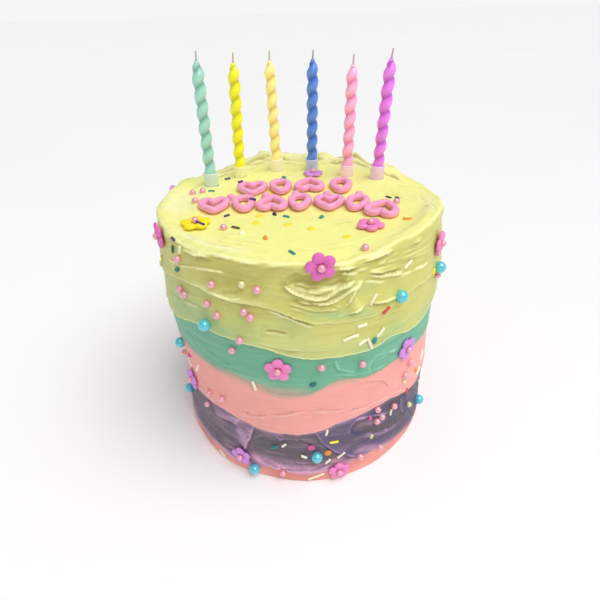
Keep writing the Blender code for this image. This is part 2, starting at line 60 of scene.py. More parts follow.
# Cake body, as angles and heights
CAKE_TOP = 151.0
FOOT_INSET = 1.2
WAIST_SLANT = 1.9
WAIST_HEIGHT = 48.0
WAIST_REACH = 28.0
SIDE_PROFILE = ((0, 84.8), (14, 84.3), (45, 83.0), (80, 83.6), (107, 84.8), (122, 84.2),
                (140, 82.8), (151, 81.6), (170, 80.6))
STRIP_EDGE = ((-165, 7), (-130, 10), (-95, 8), (-54, 9), (-33, 7.5), (-25, 6), (-13, 10),
              (-3, 7.5), (10, 8.5), (28, 13), (42, 10), (60, 5.5), (95, 9), (135, 6))
LILAC_EDGE = ((-165, 46), (-125, 42), (-90, 46), (-52, 45), (-30, 44.5), (-14, 41), (2, 43),
              (12, 47), (36, 51), (52, 47), (90, 43), (135, 49))
PINK_EDGE = ((-170, 76), (-130, 81), (-95, 78), (-53, 79.5), (-25, 78), (-10, 72.5), (3, 73.5),
             (12, 80), (23, 78), (36, 80), (50, 80.5), (90, 77), (130, 82))
TEAL_EDGE = ((-165, 100), (-120, 96), (-85, 97), (-59, 99), (-41, 108), (-28, 108), (-14, 105),
             (0, 99), (12, 97.5), (25, 97), (32, 100), (43, 97.5), (61, 98.5), (100, 102), (140, 97))
SWIPE_EDGE = ((-150, 124), (-100, 118), (-70, 121), (-57, 127), (-42, 132), (-22, 130), (-10, 128),
              (0, 122), (10, 119), (23, 118), (34, 121), (46, 124), (64, 120), (100, 124), (150, 119))
RIM_CREST = ((-180, 155), (-162, 158), (-150, 154.5), (-137, 152), (-120, 153), (-100, 153.5),
             (-80, 153), (-58, 153), (-40, 152), (-22, 152.5), (-8, 151.5), (5, 150.5), (14, 150),
             (30, 152), (46, 154), (60, 155), (76, 153.5), (95, 150.5), (118, 150.5), (131, 154.5),
             (140, 152.5), (148, 156), (158, 153), (167, 157.5))
LAPS = ((STRIP_EDGE, 1.0), (LILAC_EDGE, 1.3), (PINK_EDGE, 0.7), (TEAL_EDGE, 1.6), (SWIPE_EDGE, 1.2))
LAP_FADE = 11.0
# From the foot up: piece, colour, colour of its lips, strength of its seeded knife marks
# The lip colour is also the painted highlight on faces that turn up; the lemon bands take the lemon with
# painted shade as their colour
BANDS = (("foot_strip", "peach", "peach", 0.3), ("lilac_band", "dusk", "lavender", 0.9),
         ("pink_band", "pink", "pink_pale", 0.6), ("teal_band", "teal", "teal_pale", 0.6),
         ("lemon_band_lower", "lemon_side", "lemon_highlight", 0.9),
         ("lemon_band_upper", "lemon_side", "lemon_highlight", 1.1))
FRONT_DENSITY = 17.0
RIM_RADIUS = 78.8
RIM_DROP = 6.0
RIM_INNER_REACH = 6.5
RIM_SQUARE = 0.55
RIM_ARC = 8.0
RIM_LEVEL = 152.0
TOP_BAND = len(LAPS)
SWEEP_COUNT = 34
CREASE_SHADE = 0.66

# Candles: colour, place of the foot, lean of the wax at its tip, heights above the icing
CANDLES = (("mint", -55.5, 27.0, 0.8, 8.5, 69.9, 76.3),
           ("yellow", -38.6, 44.3, 2.2, 7.2, 66.7, 73.8),
           ("peach", -14.1, 53.8, -1.0, 8.4, 66.4, 73.4),
           ("blue", 10.1, 54.0, 1.3, 7.6, 66.5, 73.1),
           ("rose", 32.7, 38.8, 1.8, 7.3, 64.4, 71.5),
           ("orchid", 51.2, 30.4, 4.0, 8.7, 67.8, 74.5))
CANDLE_PITCH = 8.8
CANDLE_TIP = 5.0
TWIST_START = 1.5
TWIST_LEAD = 2
TWIST_GROWTH = 2.5
WAX_SIDES = 44
HOLDER_SIDES = 40
WICK_SIDES = 12
WICK_STEPS = 14
WICK_SOCKET_DEPTH = 2.0
HOLDER_RADIUS = 4.4
HOLDER_WALL = 0.7
HOLDER_FLOOR = 0.8
HOLDER_DEPTH = 2.5
SOCKET_RADIUS = 4.05
SOCKET_SINK = 0.4
COLLAR_RADIUS = 5.3
COLLAR_RISE = 0.55
WAX_STEP = 0.42
# Wax that climbs the wick: distance out from the bore, height over the candle's top
TIP_CONE = ((0.62, 0.25), (0.36, 0.8), (0.12, 1.5), (0.0, 1.45))

# Moulded flowers: colour, place, turn of the first petal, and a size factor
FLOWER_PETALS = 5
FLOWER_RAYS = 130
PETAL_TURN = 360 / FLOWER_PETALS
PETAL_CENTRE = 4.35
PETAL_RADIUS = 2.95
FLOWER_REACH = 7.0
TOP_CLEARANCE = 0.3
SIDE_FLOWERS = (("magenta", 6, 149.5, 15, 1.0), ("magenta", -63, 146.5, 30, 1.0),
                ("pink", 62, 138, 10, 1.0), ("pink", -9, 91, 0, 1.0), ("lilac", 43, 84, 20, 1.0),
                ("lilac", -58.5, 49.5, 5, 1.0), ("lilac", -28, 14, 8, 0.95), ("pink", 13, 8.2, 0, 0.95),
                ("lilac", -106, 146, 0, 1.0), ("pink", -152, 88, 12, 1.0),
                ("lilac", 158, 118, 25, 1.0), ("pink", 112, 32, 40, 1.0))
TOP_FLOWERS = (("pink", 36.0, -45.6, 36, 1.0), ("lilac", 10.5, 42.2, 0, 0.92),
               ("lemon", -54.3, -37.5, 10, 1.1))

# Small toppings on the side as (angle, height) and on the top as (x, y)
PEARL_STAND = 0.55
PINK_PEARL = 2.0
BLUE_PEARL = 3.3
STRAND_LIFT = 0.25
OVAL_LIFT = 0.3
CONFETTI_LIFT = 0.1
SIDE_RING = 0.16
TOP_RING = 0.2
BACK_STRAND = 6.0
PINK_PEARLS = ((-46, 143), (-47.8, 125), (-45, 123.3), (-30, 137), (-33, 125), (-29, 120.3),
               (-14, 138), (-19, 125.4), (-16.9, 122.8), (-21, 109), (-25, 100), (6, 92), (21, 89),
               (44, 63.3), (47.3, 70), (30, 48), (32.5, 40), (30, 38.2), (39, 43), (-43.8, 52.6),
               (-35.8, 55), (-47, 40), (32.2, 14.2), (22.3, 14.5), (-10, 7), (64, 117), (-68, 61))
BLUE_PEARLS = ((-34.2, 112.6), (34.8, 124.8), (62.2, 123.5), (-64, 74), (-70.5, 27), (-21.9, 6.9),
               (4, 24), (64.5, 18))
PALE_PEARLS = ((-19, 140), (51, 31))
TOP_PINK_PEARLS = ((-64.6, 10.5), (-59, 13), (-60.5, -4.2), (-39, -43), (30, -70), (55.5, -14))
WHITE_STRANDS = ((24, 127.5, 6.5, 60), (39.3, 139, 6, 28), (16, 108.5, 8.5, 13), (20, 114.3, 5.5, 5),
                 (20.3, 104, 5, 28), (23.2, 102, 8, -68), (27.3, 107, 6, 45), (-18.5, 77, 6, -75),
                 (-50, 67, 8, 62), (-59, 63, 6, -50), (3.6, 4.3, 11, 25), (-40, 3, 6, -30),
                 (-9, 31, 3.5, 45), (-1, 23, 4, -32), (8, 41.5, 4.5, 78), (14, 20.5, 6, 40),
                 (8.5, 17.5, 4.5, 48), (38, 38.5, 5, 80), (61, 61, 7, 70), (57, 53, 6, 35),
                 (-73, 123, 6, 0), (66, 31, 6, -70))
COLOURED_STRANDS = ((11, 33, 5.5, -4, "yellow"), (-13, 28, 4.5, 30, "sea"), (29, 119.5, 5, 40, "coral"),
                    (46, 49, 4, 70, "coral"), (-45, 148, 5, 70, "white"), (-50, 146, 4.5, 75, "leaf"))
SIDE_OVALS = ((-48, 136, "sea"), (25, 103, "sea"), (3, 80, "deep"), (28, 26.5, "lime"), (26.8, 43, "rose"),
              (54, 57, "orange"), (-57, 70, "rose"), (44, 58, "cream"))
SIDE_CONFETTI = ((2, 30, "rose"), (8.6, 24.5, "orange"), (58.7, 122.8, "yellow"), (-70, 128, "yellow"),
                 (-61, 67, "orange"))
TOP_STRANDS = ((-47, 40, 4, 30, "plum"), (53, -4, 4, -50, "navy"), (-33, -42, 5, -30, "brown"),
               (-54, 15.5, 4, 0, "sea"), (-7, -28, 4, -30, "sea"), (-4, -72, 4.5, -55, "sea"),
               (56.5, -38.5, 5, -15, "orange"), (-39.5, -25.2, 3.5, 40, "plum"))
TOP_OVALS = ((57.5, -6.5, "navy"), (-9, 37, "sea"), (12, -31, "sea"), (-29, -50, "white"),
             (-17, -56, "orange"), (-13.5, -24.2, "navy"))
TOP_CONFETTI = ((-23, -36, "yellow"), (-6, -39, "yellow"), (6, -45, "yellow"), (23, -56, "yellow"),
                (29, 39, "yellow"), (-21.8, -25.8, "yellow"))
PERCHED_STRANDS = ((-51.0, -41.0, 3.3, 6.0, -40, "plum"), (-26.0, -12.0, 4.6, 4.0, -25, "plum"),
                   (-36.0, 19.5, 4.6, 3.5, 40, "plum"), (-62.5, -54.8, 0.6, 3.5, -60, "plum"))
# Toppings on the back: range of angles and heights, how many, and the room that each keeps
BACK_FIRST = 74
BACK_LAST = 286
BACK_LOW = 9
BACK_HIGH = 143
BACK_ARC = 1.46
FLOWER_ROOM = 6.0
TOPPING_ROOM = 3.0
BACK_COUNT = 24
BACK_SEED = 7
BACK_SPACING = 11.0
BACK_SHADES = ("yellow", "sea", "coral", "plum", "orange", "rose", "cream")

# Scrollwork: open hearts, drops and beads of rolled sugar paste
STRAND_FLATTEN = 0.8
SCROLL_LIFT = 1.75
SCROLL_SEED = 50
BEAD_RISE = 2.6
HALF_HEART = ((0.0, 0.22), (0.17, 0.44), (0.37, 0.44), (0.49, 0.20), (0.42, -0.12), (0.22, -0.40),
              (0.0, -0.62))
UPPER_SCROLLS = (("heart", -28.2, 14.1, 15.4, 4), ("drop", -10.6, 14.2, 18.5, 94),
                 ("heart", 7.2, 15.2, 15.4, 176), ("drop", 26.5, 13, 18.5, 84))
LOWER_SCROLLS = (("heart", -48, -13.3, 14.6, 8), ("drop", -31.3, -12.5, 17.8, 95),
                 ("heart", -15.1, -12.7, 14.4, 178), ("drop", 0.6, -11.7, 17.8, 86),
                 ("heart", 17.3, -13.3, 14.4, -4), ("drop", 32.8, -16.8, 17.4, 72),
                 ("heart", 45.2, -27.3, 15.5, 158))
BEADS = ((-40, 0), (-19.5, 1.5), (-1.5, 2.3), (17, 0.2), (36, -1))

# Stage: places and sizes in metres, angles in degrees
CAMERA_PLACE = (-0.0010, -0.2561, 0.2456)
CAMERA_DIP = 33.162
CAMERA_ROLL = -1.819
SUN_PLACE = (0.45, -0.3, 1.1)
SUN_SPREAD = 50
BOX_PLACE = (0.2, -0.6, 0.8)
BOX_TARGET = (0.0, 0.0, 0.08)
BOX_SIZE = 0.3
BACKDROP = 0.92
FLOOR_REACH = 30

# Marks of the icing knife on the side, band by band from the foot, as (angle, height), and on
# the top as (x, y). Each is a tool of the class Sheet, its path and that tool's sizes
# In these marks the washes in the lemon crease colour and in the dark blue are painted shade, in creases,
# under lips and under the flowers; washes in the pale lemon are painted highlight
SIDE_MARKS = {
    1: (
        ("press", ((-24, 26), (-15, 24), (-4, 24), (7, 27)), 12.5, -1.1, 0.1, 0.1),
        ("shelf", ((11, 15), (7, 12.6), (2, 10.6), (-5, 9.6), (-12, 10.2), (-18, 12.6), (-22, 15.5),
                   (-26, 21)), 1.2, 1.6, "lilac_lip", 0.9, 2.2),
        ("wash", ((-26, 17), (-18, 11.5), (-8, 9.6), (3, 10.2), (13, 14)), 3.4, "lilac_lip", 0.85),
        ("shelf", ((-26, 19), (-24.5, 27), (-23, 34), (-21.5, 42)), 1.9, 3.2, "lavender", 0.9, 4.0),
        ("wash", ((-25, 47), (-28.5, 42), (-31, 37.5)), 1.6, "lavender", 0.7),
        ("shelf", ((-31, 36.5), (-28.6, 41.5), (-25, 46.5)), 0.8, 1.8, "lavender", 0.7, 2.2),
        ("roughen", ((-25, 20), (-24, 30), (-22, 42)), 1.6, 0.9, 1.8, 1.3),
        ("shelf", ((-24, 40.6), (-17, 41), (-8, 41.6), (2, 42)), 0.9, 1.8, "lavender", 1.0, 1.5),
        ("shelf", ((2, 44), (4.5, 38.5), (7, 32.4), (11.3, 25), (17.7, 17.4), (25, 11)),
         0.9, 4.0, "violet", 0.7, 6.0),
        ("wash", ((6, 33), (10.5, 25), (16.5, 17.6), (22, 12)), 1.0, "ink", 0.8),
        # A wide wash of dark blue: painted shade over this stretch of the purple icing
        ("wash", ((7, 37), (13, 34), (20, 33)), 5.0, "ink", 0.25),
        ("wash", ((9, 19), (14, 14), (20, 10), (32, 8)), 2.6, "lilac_lip", 0.7),
        ("shelf", ((17.6, 33), (18, 41), (20, 46), (24, 45.5), (30, 42), (38, 38.5)),
         1.2, 2.6, "violet", 0.8, 4.0),
        ("wash", ((20, 40), (24, 40), (30, 37), (37, 34)), 2.6, "lavender", 0.35),
        ("wash", ((18.6, 42), (19.4, 35.5), (23, 32.4), (28, 29.6)), 1.3, "ink", 1.0),
        ("shelf", ((38, 24.5), (34, 26.5), (27.4, 29.6), (22, 33)), 1.2, 2.2, "violet", 0.7, 3.0),
        ("wash", ((23, 30), (29, 26.5), (36, 23.5), (46, 21)), 1.4, "lavender", 0.5),
        ("wash", ((20, 30), (27, 22.5), (35, 14.5), (46, 7.5)), 1.2, "ink", 0.4),
        ("wash", ((18, 20), (27, 16.5), (36, 10.5), (48, 6)), 3.0, "lavender", 0.6),
        ("shelf", ((18, 19.5), (28, 14.6), (42, 9)), 0.7, 3.0, "lavender", 0.5, 2.0),
        ("wash", ((44, 46), (47, 39), (49, 31), (51, 24)), 2.4, "ink", 1.0),
        ("shelf", ((43, 45), (44, 36), (47, 27)), 0.9, 2.0, "violet", 0.8, 2.5),
        ("wash", ((-31, 35), (-27, 30), (-26, 19)), 3.0, "lavender", 0.75),
        ("shelf", ((-30, 9), (-41, 11), (-56, 9)), 0.9, 2.2, "lavender", 0.8, 2.4),
        ("wash", ((-44, 38), (-36, 39.5), (-29, 41), (-22, 43)), 1.8, "lavender", 0.6),
        ("shelf", ((-44, 35), (-35, 37), (-28, 37)), 0.7, 3.0, "lavender", 0.5, 2.0),
        ("press", ((-66, 27), (-48, 24), (-34, 22)), 8.0, -0.6, 0.1, 0.2),
        ("wash", ((-14, 34), (-3, 36.5), (5, 36)), 1.2, "lavender", 0.35),
        ("wash", ((-56, 9), (-44, 9), (-32, 9.5)), 1.8, "lilac_lip", 0.6),
        ("wash", ((-20, 17), (-8, 16), (3, 16)), 2.0, "lavender", 0.35),
        ("shelf", ((232, 14), (214, 11.5), (192, 12), (170, 15), (150, 14)),
         1.2, 1.8, "lavender", 0.8, 2.0),
        ("shelf", ((205, 17), (203, 27), (206, 36), (212, 43)), 1.6, 3.0, "lavender", 0.8, 3.5),
        ("shelf", ((146, 36), (170, 33), (192, 37)), 1.0, 2.2, "violet", 0.6, 3.0),
        ("wash", ((150, 31), (170, 28.5), (190, 32)), 1.3, "ink", 0.7),
    ),
    2: (
        ("press", ((-55, 62), (-30, 60), (-8, 64), (14, 67), (42, 68)), 8.0, -0.2, 0.05, 0.05),
        ("shelf", ((18, 56), (4, 59.5), (-7, 57.5), (-20, 51.5), (-28, 49)), 0.75, 3.0),
        ("shelf", ((-29, 46.5), (-22, 48), (-18, 45.5), (-8, 45)), 0.7, 1.4, "pink_pale", 0.5, 1.2),
        ("shelf", ((48, 51.5), (36, 55), (24, 54.5), (13, 53)), 0.7, 2.5),
        ("shelf", ((22, 74.5), (27, 72), (32, 68.5), (36, 60)), 0.6, 1.8, "pink_pale", 0.6, 1.0),
        ("roughen", ((-27, 50), (-24, 51.5), (-22, 50.5)), 0.9, 0.9, 1.3, 0.8),
        ("wash", ((-8, 73), (2, 74.5), (8, 77.5), (15, 79), (24, 78)), 2.6, "teal", 0.45),
        ("roughen", ((18, 56), (20, 55), (22, 55.5)), 0.7, 0.7, 1.2, 0.8),
        ("shelf", ((146, 56), (166, 60), (188, 59.5), (206, 54)), 1.0, 3.0),
        ("shelf", ((232, 64), (216, 67), (202, 66), (190, 62)), 0.8, 2.0, "pink_pale", 0.5, 1.2),
        ("shelf", ((98, 60), (112, 63.5), (128, 62)), 0.8, 2.5),
        ("shelf", ((250, 58), (264, 61), (282, 60)), 0.8, 2.5),
    ),
    3: (
        ("press", ((-52, 90), (-35, 94), (-18, 91)), 6.0, -0.2, 0.05, 0.05),
        ("shelf", ((10.5, 96), (11.5, 89.5), (13.5, 86.3), (19, 83)), 0.8, 1.5, "teal_pale", 0.8, 0.9),
        ("shelf", ((25.5, 78.5), (24.8, 85), (27, 90), (31, 89.7), (39, 87.5)),
         0.9, 1.8, "teal_pale", 0.8, 1.0),
        ("shelf", ((12, 84), (18, 81.3), (24, 80.6), (33, 81.2)), 0.7, 2.0, "teal_pale", 0.4, 1.0),
        ("press", ((-31.5, 87.2), (-28, 86.6)), 0.7, -0.7, 0.2, 0.2),
        ("shelf", ((-30, 86), (-24, 86), (-16, 85)), 0.6, 2.5),
        ("shelf", ((2, 91), (12, 93), (22, 94.5)), 0.4, 3.0),
        ("wash", ((-34, 80), (-18, 77), (-6, 75.5), (4, 77)), 2.6, "pink", 0.42),
        ("shelf", ((170, 92), (171.5, 86.5), (175, 84.5), (183, 83.5)), 0.9, 1.6, "teal_pale", 0.8, 1.0),
        ("shelf", ((210, 86), (224, 89), (240, 88)), 0.8, 2.5),
        ("shelf", ((100, 88), (116, 90.5), (132, 89)), 0.7, 2.5),
    ),
    4: (
        # A wide wash of pale lemon: painted light on the lower lemon band
        ("wash", ((-20, 108), (-5, 106), (12, 106), (26, 110)), 7.0, "lemon_highlight", 0.15),
        ("press", ((-16, 114.8), (-9, 114.4), (-1, 114)), 5.0, -0.4, 0.0, 0.0),
        ("press", ((-13, 115.2), (-9.5, 114.9), (-7, 114.2), (-4.5, 113.6)),
         1.1, -0.9, 0.0, 0.1, "crease_shadow", 0.5),
        ("wash", ((-12, 115.4), (-9, 114.9), (-5.5, 114)), 0.8, "crease_shadow", 0.8),
        ("wash", ((-60, 108), (-46, 112.5), (-34, 112), (-22, 106)), 5.5, "teal", 0.42),
        ("wash", ((-27, 126), (-17, 125), (-7, 123.6)), 3.0, "crease_shadow", 0.3),
        ("shelf", ((-20, 117), (-36, 120), (-49, 117), (-67, 110)), 0.6, 5.0),
        ("shelf", ((-33, 129), (-28, 127.8), (-23, 128)), 0.8, 1.5),
        ("wash", ((-62, 114), (-44, 119), (-34, 117), (-26, 110)), 5.5, "lemon_green", 0.75),
        ("shelf", ((5, 117.5), (1, 119.5), (-3, 122.5), (-8, 126), (-12, 127.5)),
         1.2, 1.4, "lemon_highlight", 0.7, 1.2),
        ("shelf", ((-16, 108), (-2, 104), (14, 102)), 0.45, 4.0),
        ("press", ((10, 110), (26, 109), (46, 112)), 4.0, -0.35, 0.1, 0.25),
        ("shelf", ((14, 114.5), (30, 115), (52, 117)), 0.5, 4.0),
        ("shelf", ((150, 112), (172, 115.5), (196, 114), (214, 110)), 0.9, 3.5),
        ("shelf", ((250, 112), (266, 114), (284, 112)), 0.7, 4.0),
        ("shelf", ((92, 110), (108, 114), (126, 113)), 0.8, 3.5),
    ),
    5: (
        ("press", ((-70, 133), (-50, 137), (-30, 138), (-12, 138)), 6.0, -0.35, 0.05, 0.1),
        ("press", ((-6, 145), (2, 140.5), (9, 140.5), (16, 145)), 5.0, -1.7, 0.0, 0.0),
        # Painted shadow under the flower
        ("wash", ((-8, 144), (3, 140.5), (10, 140.5), (17, 144)), 4.6, "crease_shadow", 0.75),
        ("roughen", ((-4, 141), (3, 138), (10, 138.5), (15, 142)), 3.0, 0.4, 7.0, 1.4),
        ("shelf", ((18, 140.5), (13, 138.3), (11, 136.5), (9, 135), (6, 134), (3, 134.6), (-2, 136.8),
                   (-6, 140.5)), 1.9, 2.6),
        ("shelf", ((20, 138), (15, 135.6), (11, 132.7), (7, 131.4), (1, 132.8)), 1.7, 1.8),
        ("shelf", ((-7, 134.6), (-2, 132.7), (2, 131), (5, 130), (9, 129.4), (14, 126.5)), 1.4, 1.5),
        ("roughen", ((1, 133), (7, 131.5), (13, 134)), 1.6, 0.5, 2.4, 1.1),
        ("shelf", ((-6, 131.3), (-2, 129.7), (2, 127.9), (4, 126.9), (7, 126.5), (14, 126)), 1.0, 1.6),
        ("shelf", ((-5, 129), (0, 126.6), (5, 124.6), (12, 124.4)), 0.6, 2.0),
        ("wash", ((-4, 133.8), (3, 131), (9, 129.4)), 0.9, "crease_shadow", 0.9),
        ("wash", ((-6.5, 138.5), (-2, 136), (3, 133.9), (8, 134.2)), 0.8, "crease_shadow", 0.9),
        ("wash", ((1, 132), (7, 130.7), (13, 132.6)), 0.8, "crease_shadow", 0.85),
        ("wash", ((-3, 129), (3, 127.2), (9, 125.8)), 0.7, "crease_shadow", 0.7),
        ("wash", ((-1, 126.5), (4, 125), (10, 123.7), (16, 122.6), (27, 122)), 2.4, "lemon_green", 0.85),
        ("shelf", ((10, 121.8), (14, 122.6), (18, 123.8), (22, 125.3), (28, 124.6), (38, 122.8)), 1.6, 9.0),
        ("shelf", ((13, 125.5), (15, 129.5), (17, 135), (21, 140)), 1.3, 2.2),
        ("roughen", ((14, 128), (16, 133), (19, 137.5)), 1.5, 0.5, 1.8, 1.3),
        ("shelf", ((54, 133), (35, 135.6), (29, 136.2), (26, 136.7), (18, 139.3)), 0.8, 4.0),
        ("shelf", ((38, 136.6), (31, 137.8), (27, 138.6), (22, 141.4)), 1.5, 1.6),
        ("shelf", ((22, 142), (25, 141), (29, 139.8), (35, 139.4)), 0.9, 1.4),
        ("wash", ((23.5, 141), (27, 139.5), (31, 138.8), (36, 138.2)), 1.0, "crease_shadow", 0.95),
        ("shelf", ((19, 144), (16, 144), (12, 144.8)), 1.2, 1.0),
        ("shelf", ((11, 147), (14, 146.2), (17, 146.4), (20, 147)), 1.1, 1.2),
        ("wash", ((12, 145.8), (15, 145.2), (19, 145.2)), 0.9, "crease_shadow", 0.9),
        ("roughen", ((9, 146.5), (21, 145), (36, 143.5), (56, 142)), 4.6, 0.5, 15.0, 1.1),
        ("shelf", ((16, 143.6), (24, 144.3), (30, 145.2), (38, 147)), 0.9, 1.5),
        ("shelf", ((26, 142.6), (36, 141.8), (52, 139.6)), 0.5, 2.4),
        ("roughen", ((-4, 147), (-5.5, 141), (-5, 135)), 2.0, 0.45, 4.5, 1.6),
        ("wash", ((-4.5, 145), (-5.5, 140), (-5, 136)), 1.6, "crease_shadow", 0.5),
        ("shelf", ((-20, 144.5), (-28, 144), (-33, 143.5), (-38, 142.5), (-46, 139.5), (-60, 136.5)),
         0.5, 5.0),
        ("wash", ((-42, 133.5), (-30, 132), (-20, 131.2), (-9, 129.6)), 1.6, "lemon_highlight", 0.7),
        ("wash", ((-27, 133.6), (-23, 134.6), (-20, 134.8)), 0.8, "crease_shadow", 0.8),
        ("shelf", ((-19, 132.4), (-25, 131.9), (-32, 132.6)), 0.9, 1.5),
        ("shelf", ((-44, 148.8), (-38, 148.2), (-34, 148.8), (-29, 150)), 1.3, 2.0),
        ("wash", ((-38, 147), (-34, 147.4), (-29, 148.4)), 0.9, "crease_shadow", 0.7),
        ("shelf", ((-33, 150.2), (-27, 151), (-21, 150.6), (-16, 149.4), (-9, 149), (-3, 149.6)), 1.0, 2.2),
        ("shelf", ((-72, 149), (-60, 150), (-50, 149.6)), 0.8, 2.2),
        ("shelf", ((8, 148.8), (15, 147.4), (24, 147.9), (34, 149.4)), 1.1, 2.0),
        ("shelf", ((36, 147.5), (48, 149), (62, 148), (74, 149.5)), 0.8, 2.2),
        ("wash", ((-36, 141), (-22, 140), (-9, 139)), 6.0, "crease_shadow", 0.45),
        ("wash", ((-30, 147), (-14, 145.5), (-4, 146)), 3.0, "crease_shadow", 0.35),
        ("wash", ((20, 144), (32, 143), (46, 142)), 3.0, "crease_shadow", 0.25),
        ("shelf", ((228, 141), (212, 137), (196, 136), (180, 139)), 1.3, 2.4, "lemon_highlight", 0.5, 1.4),
        ("shelf", ((150, 146), (170, 147.5), (192, 146.5), (216, 148)), 1.0, 2.0),
        ("shelf", ((92, 139), (108, 142), (124, 141), (138, 138)), 1.2, 3.0),
        ("wash", ((182, 141.5), (198, 138.6), (214, 139.6)), 1.0, "crease_shadow", 0.7),
        ("roughen", ((200, 130), (220, 128), (245, 130)), 3.5, 0.4, 9.0, 1.2),
    ),
}
# Washes in the pale lemon on the top are painted highlight; tints in the lemon crease colour are painted
# shade
TOP_MARKS = (
    ("wash", ((-71, -24), (-69, 0), (-63, 22)), 12.0, "lemon_highlight", 0.85),
    ("wash", ((-20, -72), (-40, -64), (-54, -53), (-66, -38)), 4.0, "lemon_highlight", 0.75),
    ("wash", ((64, -40), (72, -22), (74, 0)), 5.0, "lemon_highlight", 0.8),
    ("wash", ((-72, 24), (-58, 49), (-32, 69), (0, 76), (32, 69), (58, 49), (72, 24)),
     7.0, "lemon_highlight", 0.95),
    ("shelf", ((-22, -71), (-40, -63.5), (-52, -55), (-62, -42)), 0.7, 3.0),
    ("shelf", ((-8, -68), (10, -68), (28, -62), (44, -50)), 0.35, 4.0),
    ("shelf", ((16, -41), (22, -38.5), (30, -37.5)), 0.5, 1.4),
    ("shelf", ((17, -55), (24, -52.5), (32, -52)), 0.45, 1.4),
    ("shelf", ((20, -47), (27, -45), (33, -45)), 0.35, 1.2),
    ("shelf", ((53, 15), (60, 13), (68, 7)), 0.6, 1.6),
    ("shelf", ((52, 5), (58, 0), (63, -8)), 0.5, 1.4),
    ("shelf", ((72, -36), (72, -20), (67, -6)), 1.0, 2.0),
    ("roughen", ((70, -30), (72, -15), (70, 2)), 2.2, 0.5, 3.0, 1.3),
    ("shelf", ((-60, 46), (-44, 60), (-30, 68.5), (-16, 74)), 1.6, 2.6, "crease_shadow", 0.3, 1.5),
    ("shelf", ((-68, 30), (-56, 44), (-42, 55), (-24, 63)), 0.9, 3.0),
    ("shelf", ((-36, 63), (-22, 68), (-8, 69), (4, 67)), 0.9, 2.2),
    ("shelf", ((-20, 71), (-6, 73), (10, 71.5), (27, 71)), 1.7, 2.4, "crease_shadow", 0.3, 1.5),
    ("shelf", ((-12, 65), (2, 66), (16, 64)), 0.6, 2.0),
    ("shelf", ((10, 66), (26, 67), (40, 61.5), (54, 50)), 1.5, 2.6, "crease_shadow", 0.3, 1.5),
    ("shelf", ((27, 73), (40, 67), (52, 57), (61, 45)), 1.2, 2.2),
    ("shelf", ((48, 52), (60, 38), (67, 24)), 1.0, 2.5),
    ("roughen", ((-50, 55), (-20, 71), (15, 73), (50, 56)), 3.5, 0.5, 9.0, 1.2),
)


def linear(red, green, blue):
    """A colour of a paint card, 0 to 255, as scene light."""
    parts = []
    for part in (red, green, blue):
        share = part / 255
        parts.append(share / 12.92 if share <= 0.04045 else ((share + 0.055) / 1.055) ** 2.4)
    return tuple(parts)


def shade(name, description, red, green, blue):
    return bpy.props.FloatVectorProperty(name=name, description=description, subtype="COLOR", size=3,
                                         min=0.0, max=1.0, default=linear(red, green, blue))


def distance(name, description, millimetres):
    return bpy.props.FloatProperty(name=name, description=description, unit="LENGTH",
                                   subtype="DISTANCE", precision=5, default=millimetres * MM)


class CAKE_PG_icing(bpy.types.PropertyGroup):
    columns: bpy.props.IntProperty(name="Columns", description="Steps round the cake", default=840, min=200)
    row: distance("Row height", "Distance between rows of the spread icing", 0.5)
    mark_depth: bpy.props.FloatProperty(name="Knife depth", description="Depth of the knife marks",
                                        default=1.0, subtype="FACTOR", min=0.0, max=2.0)
    lemon: shade("Lemon", "Icing of the top and the upper bands", 250, 249, 152)
    # Lemon with painted shade: the colour of the lemon bands where they face sideways, darker than the lit
    # lemon of the top
    lemon_side: shade("Lemon side", "Deeper lemon icing where it faces sideways", 214, 212, 120)
    # Painted shade: darker lemon laid in creases, under lips and ledges, and under the flowers
    lemon_shadow: shade("Lemon crease", "Lemon icing in creases", 172, 158, 76)
    lemon_green: shade("Lemon tinged", "Lemon icing that the teal has tinged", 180, 206, 142)
    # Painted highlight: paler lemon on lips, on faces that turn up, and in lit streaks on the top and side
    lemon_highlight: shade("Lemon lip", "Lemon icing on thin lips", 252, 252, 192)
    teal: shade("Teal", "Icing of the teal band", 115, 184, 150)
    # Paler teal of the streaks, also painted as highlight on lips and on faces that turn up
    teal_pale: shade("Teal lip", "Teal icing on thin lips", 165, 226, 205)
    pink: shade("Pink", "Icing of the pink band", 255, 173, 163)
    # Paler pink of the streaks, also painted as highlight on lips and on faces that turn up
    pink_pale: shade("Pink lip", "Pink icing on thin lips", 255, 196, 190)
    dusk: shade("Dusk", "Grey-purple icing", 102, 92, 101)
    # Lavender of the streaks, also painted as highlight on the purple icing's faces that turn up
    lavender: shade("Lavender", "Purple icing on lips and streaks", 212, 168, 204)
    lilac_lip: shade("Lilac lip", "Pale pink-lilac icing on the lowest lips", 252, 188, 216)
    violet: shade("Violet", "Bluer streaks in the purple icing", 106, 94, 146)
    # Painted shade: dark blue laid in creases and under lips of the purple icing
    ink: shade("Ink", "Dark blue creases in the purple icing", 62, 52, 112)
    # Its default is set a little darker as painted shade along the foot
    peach: shade("Peach", "Strip at the foot", 224, 135, 116)


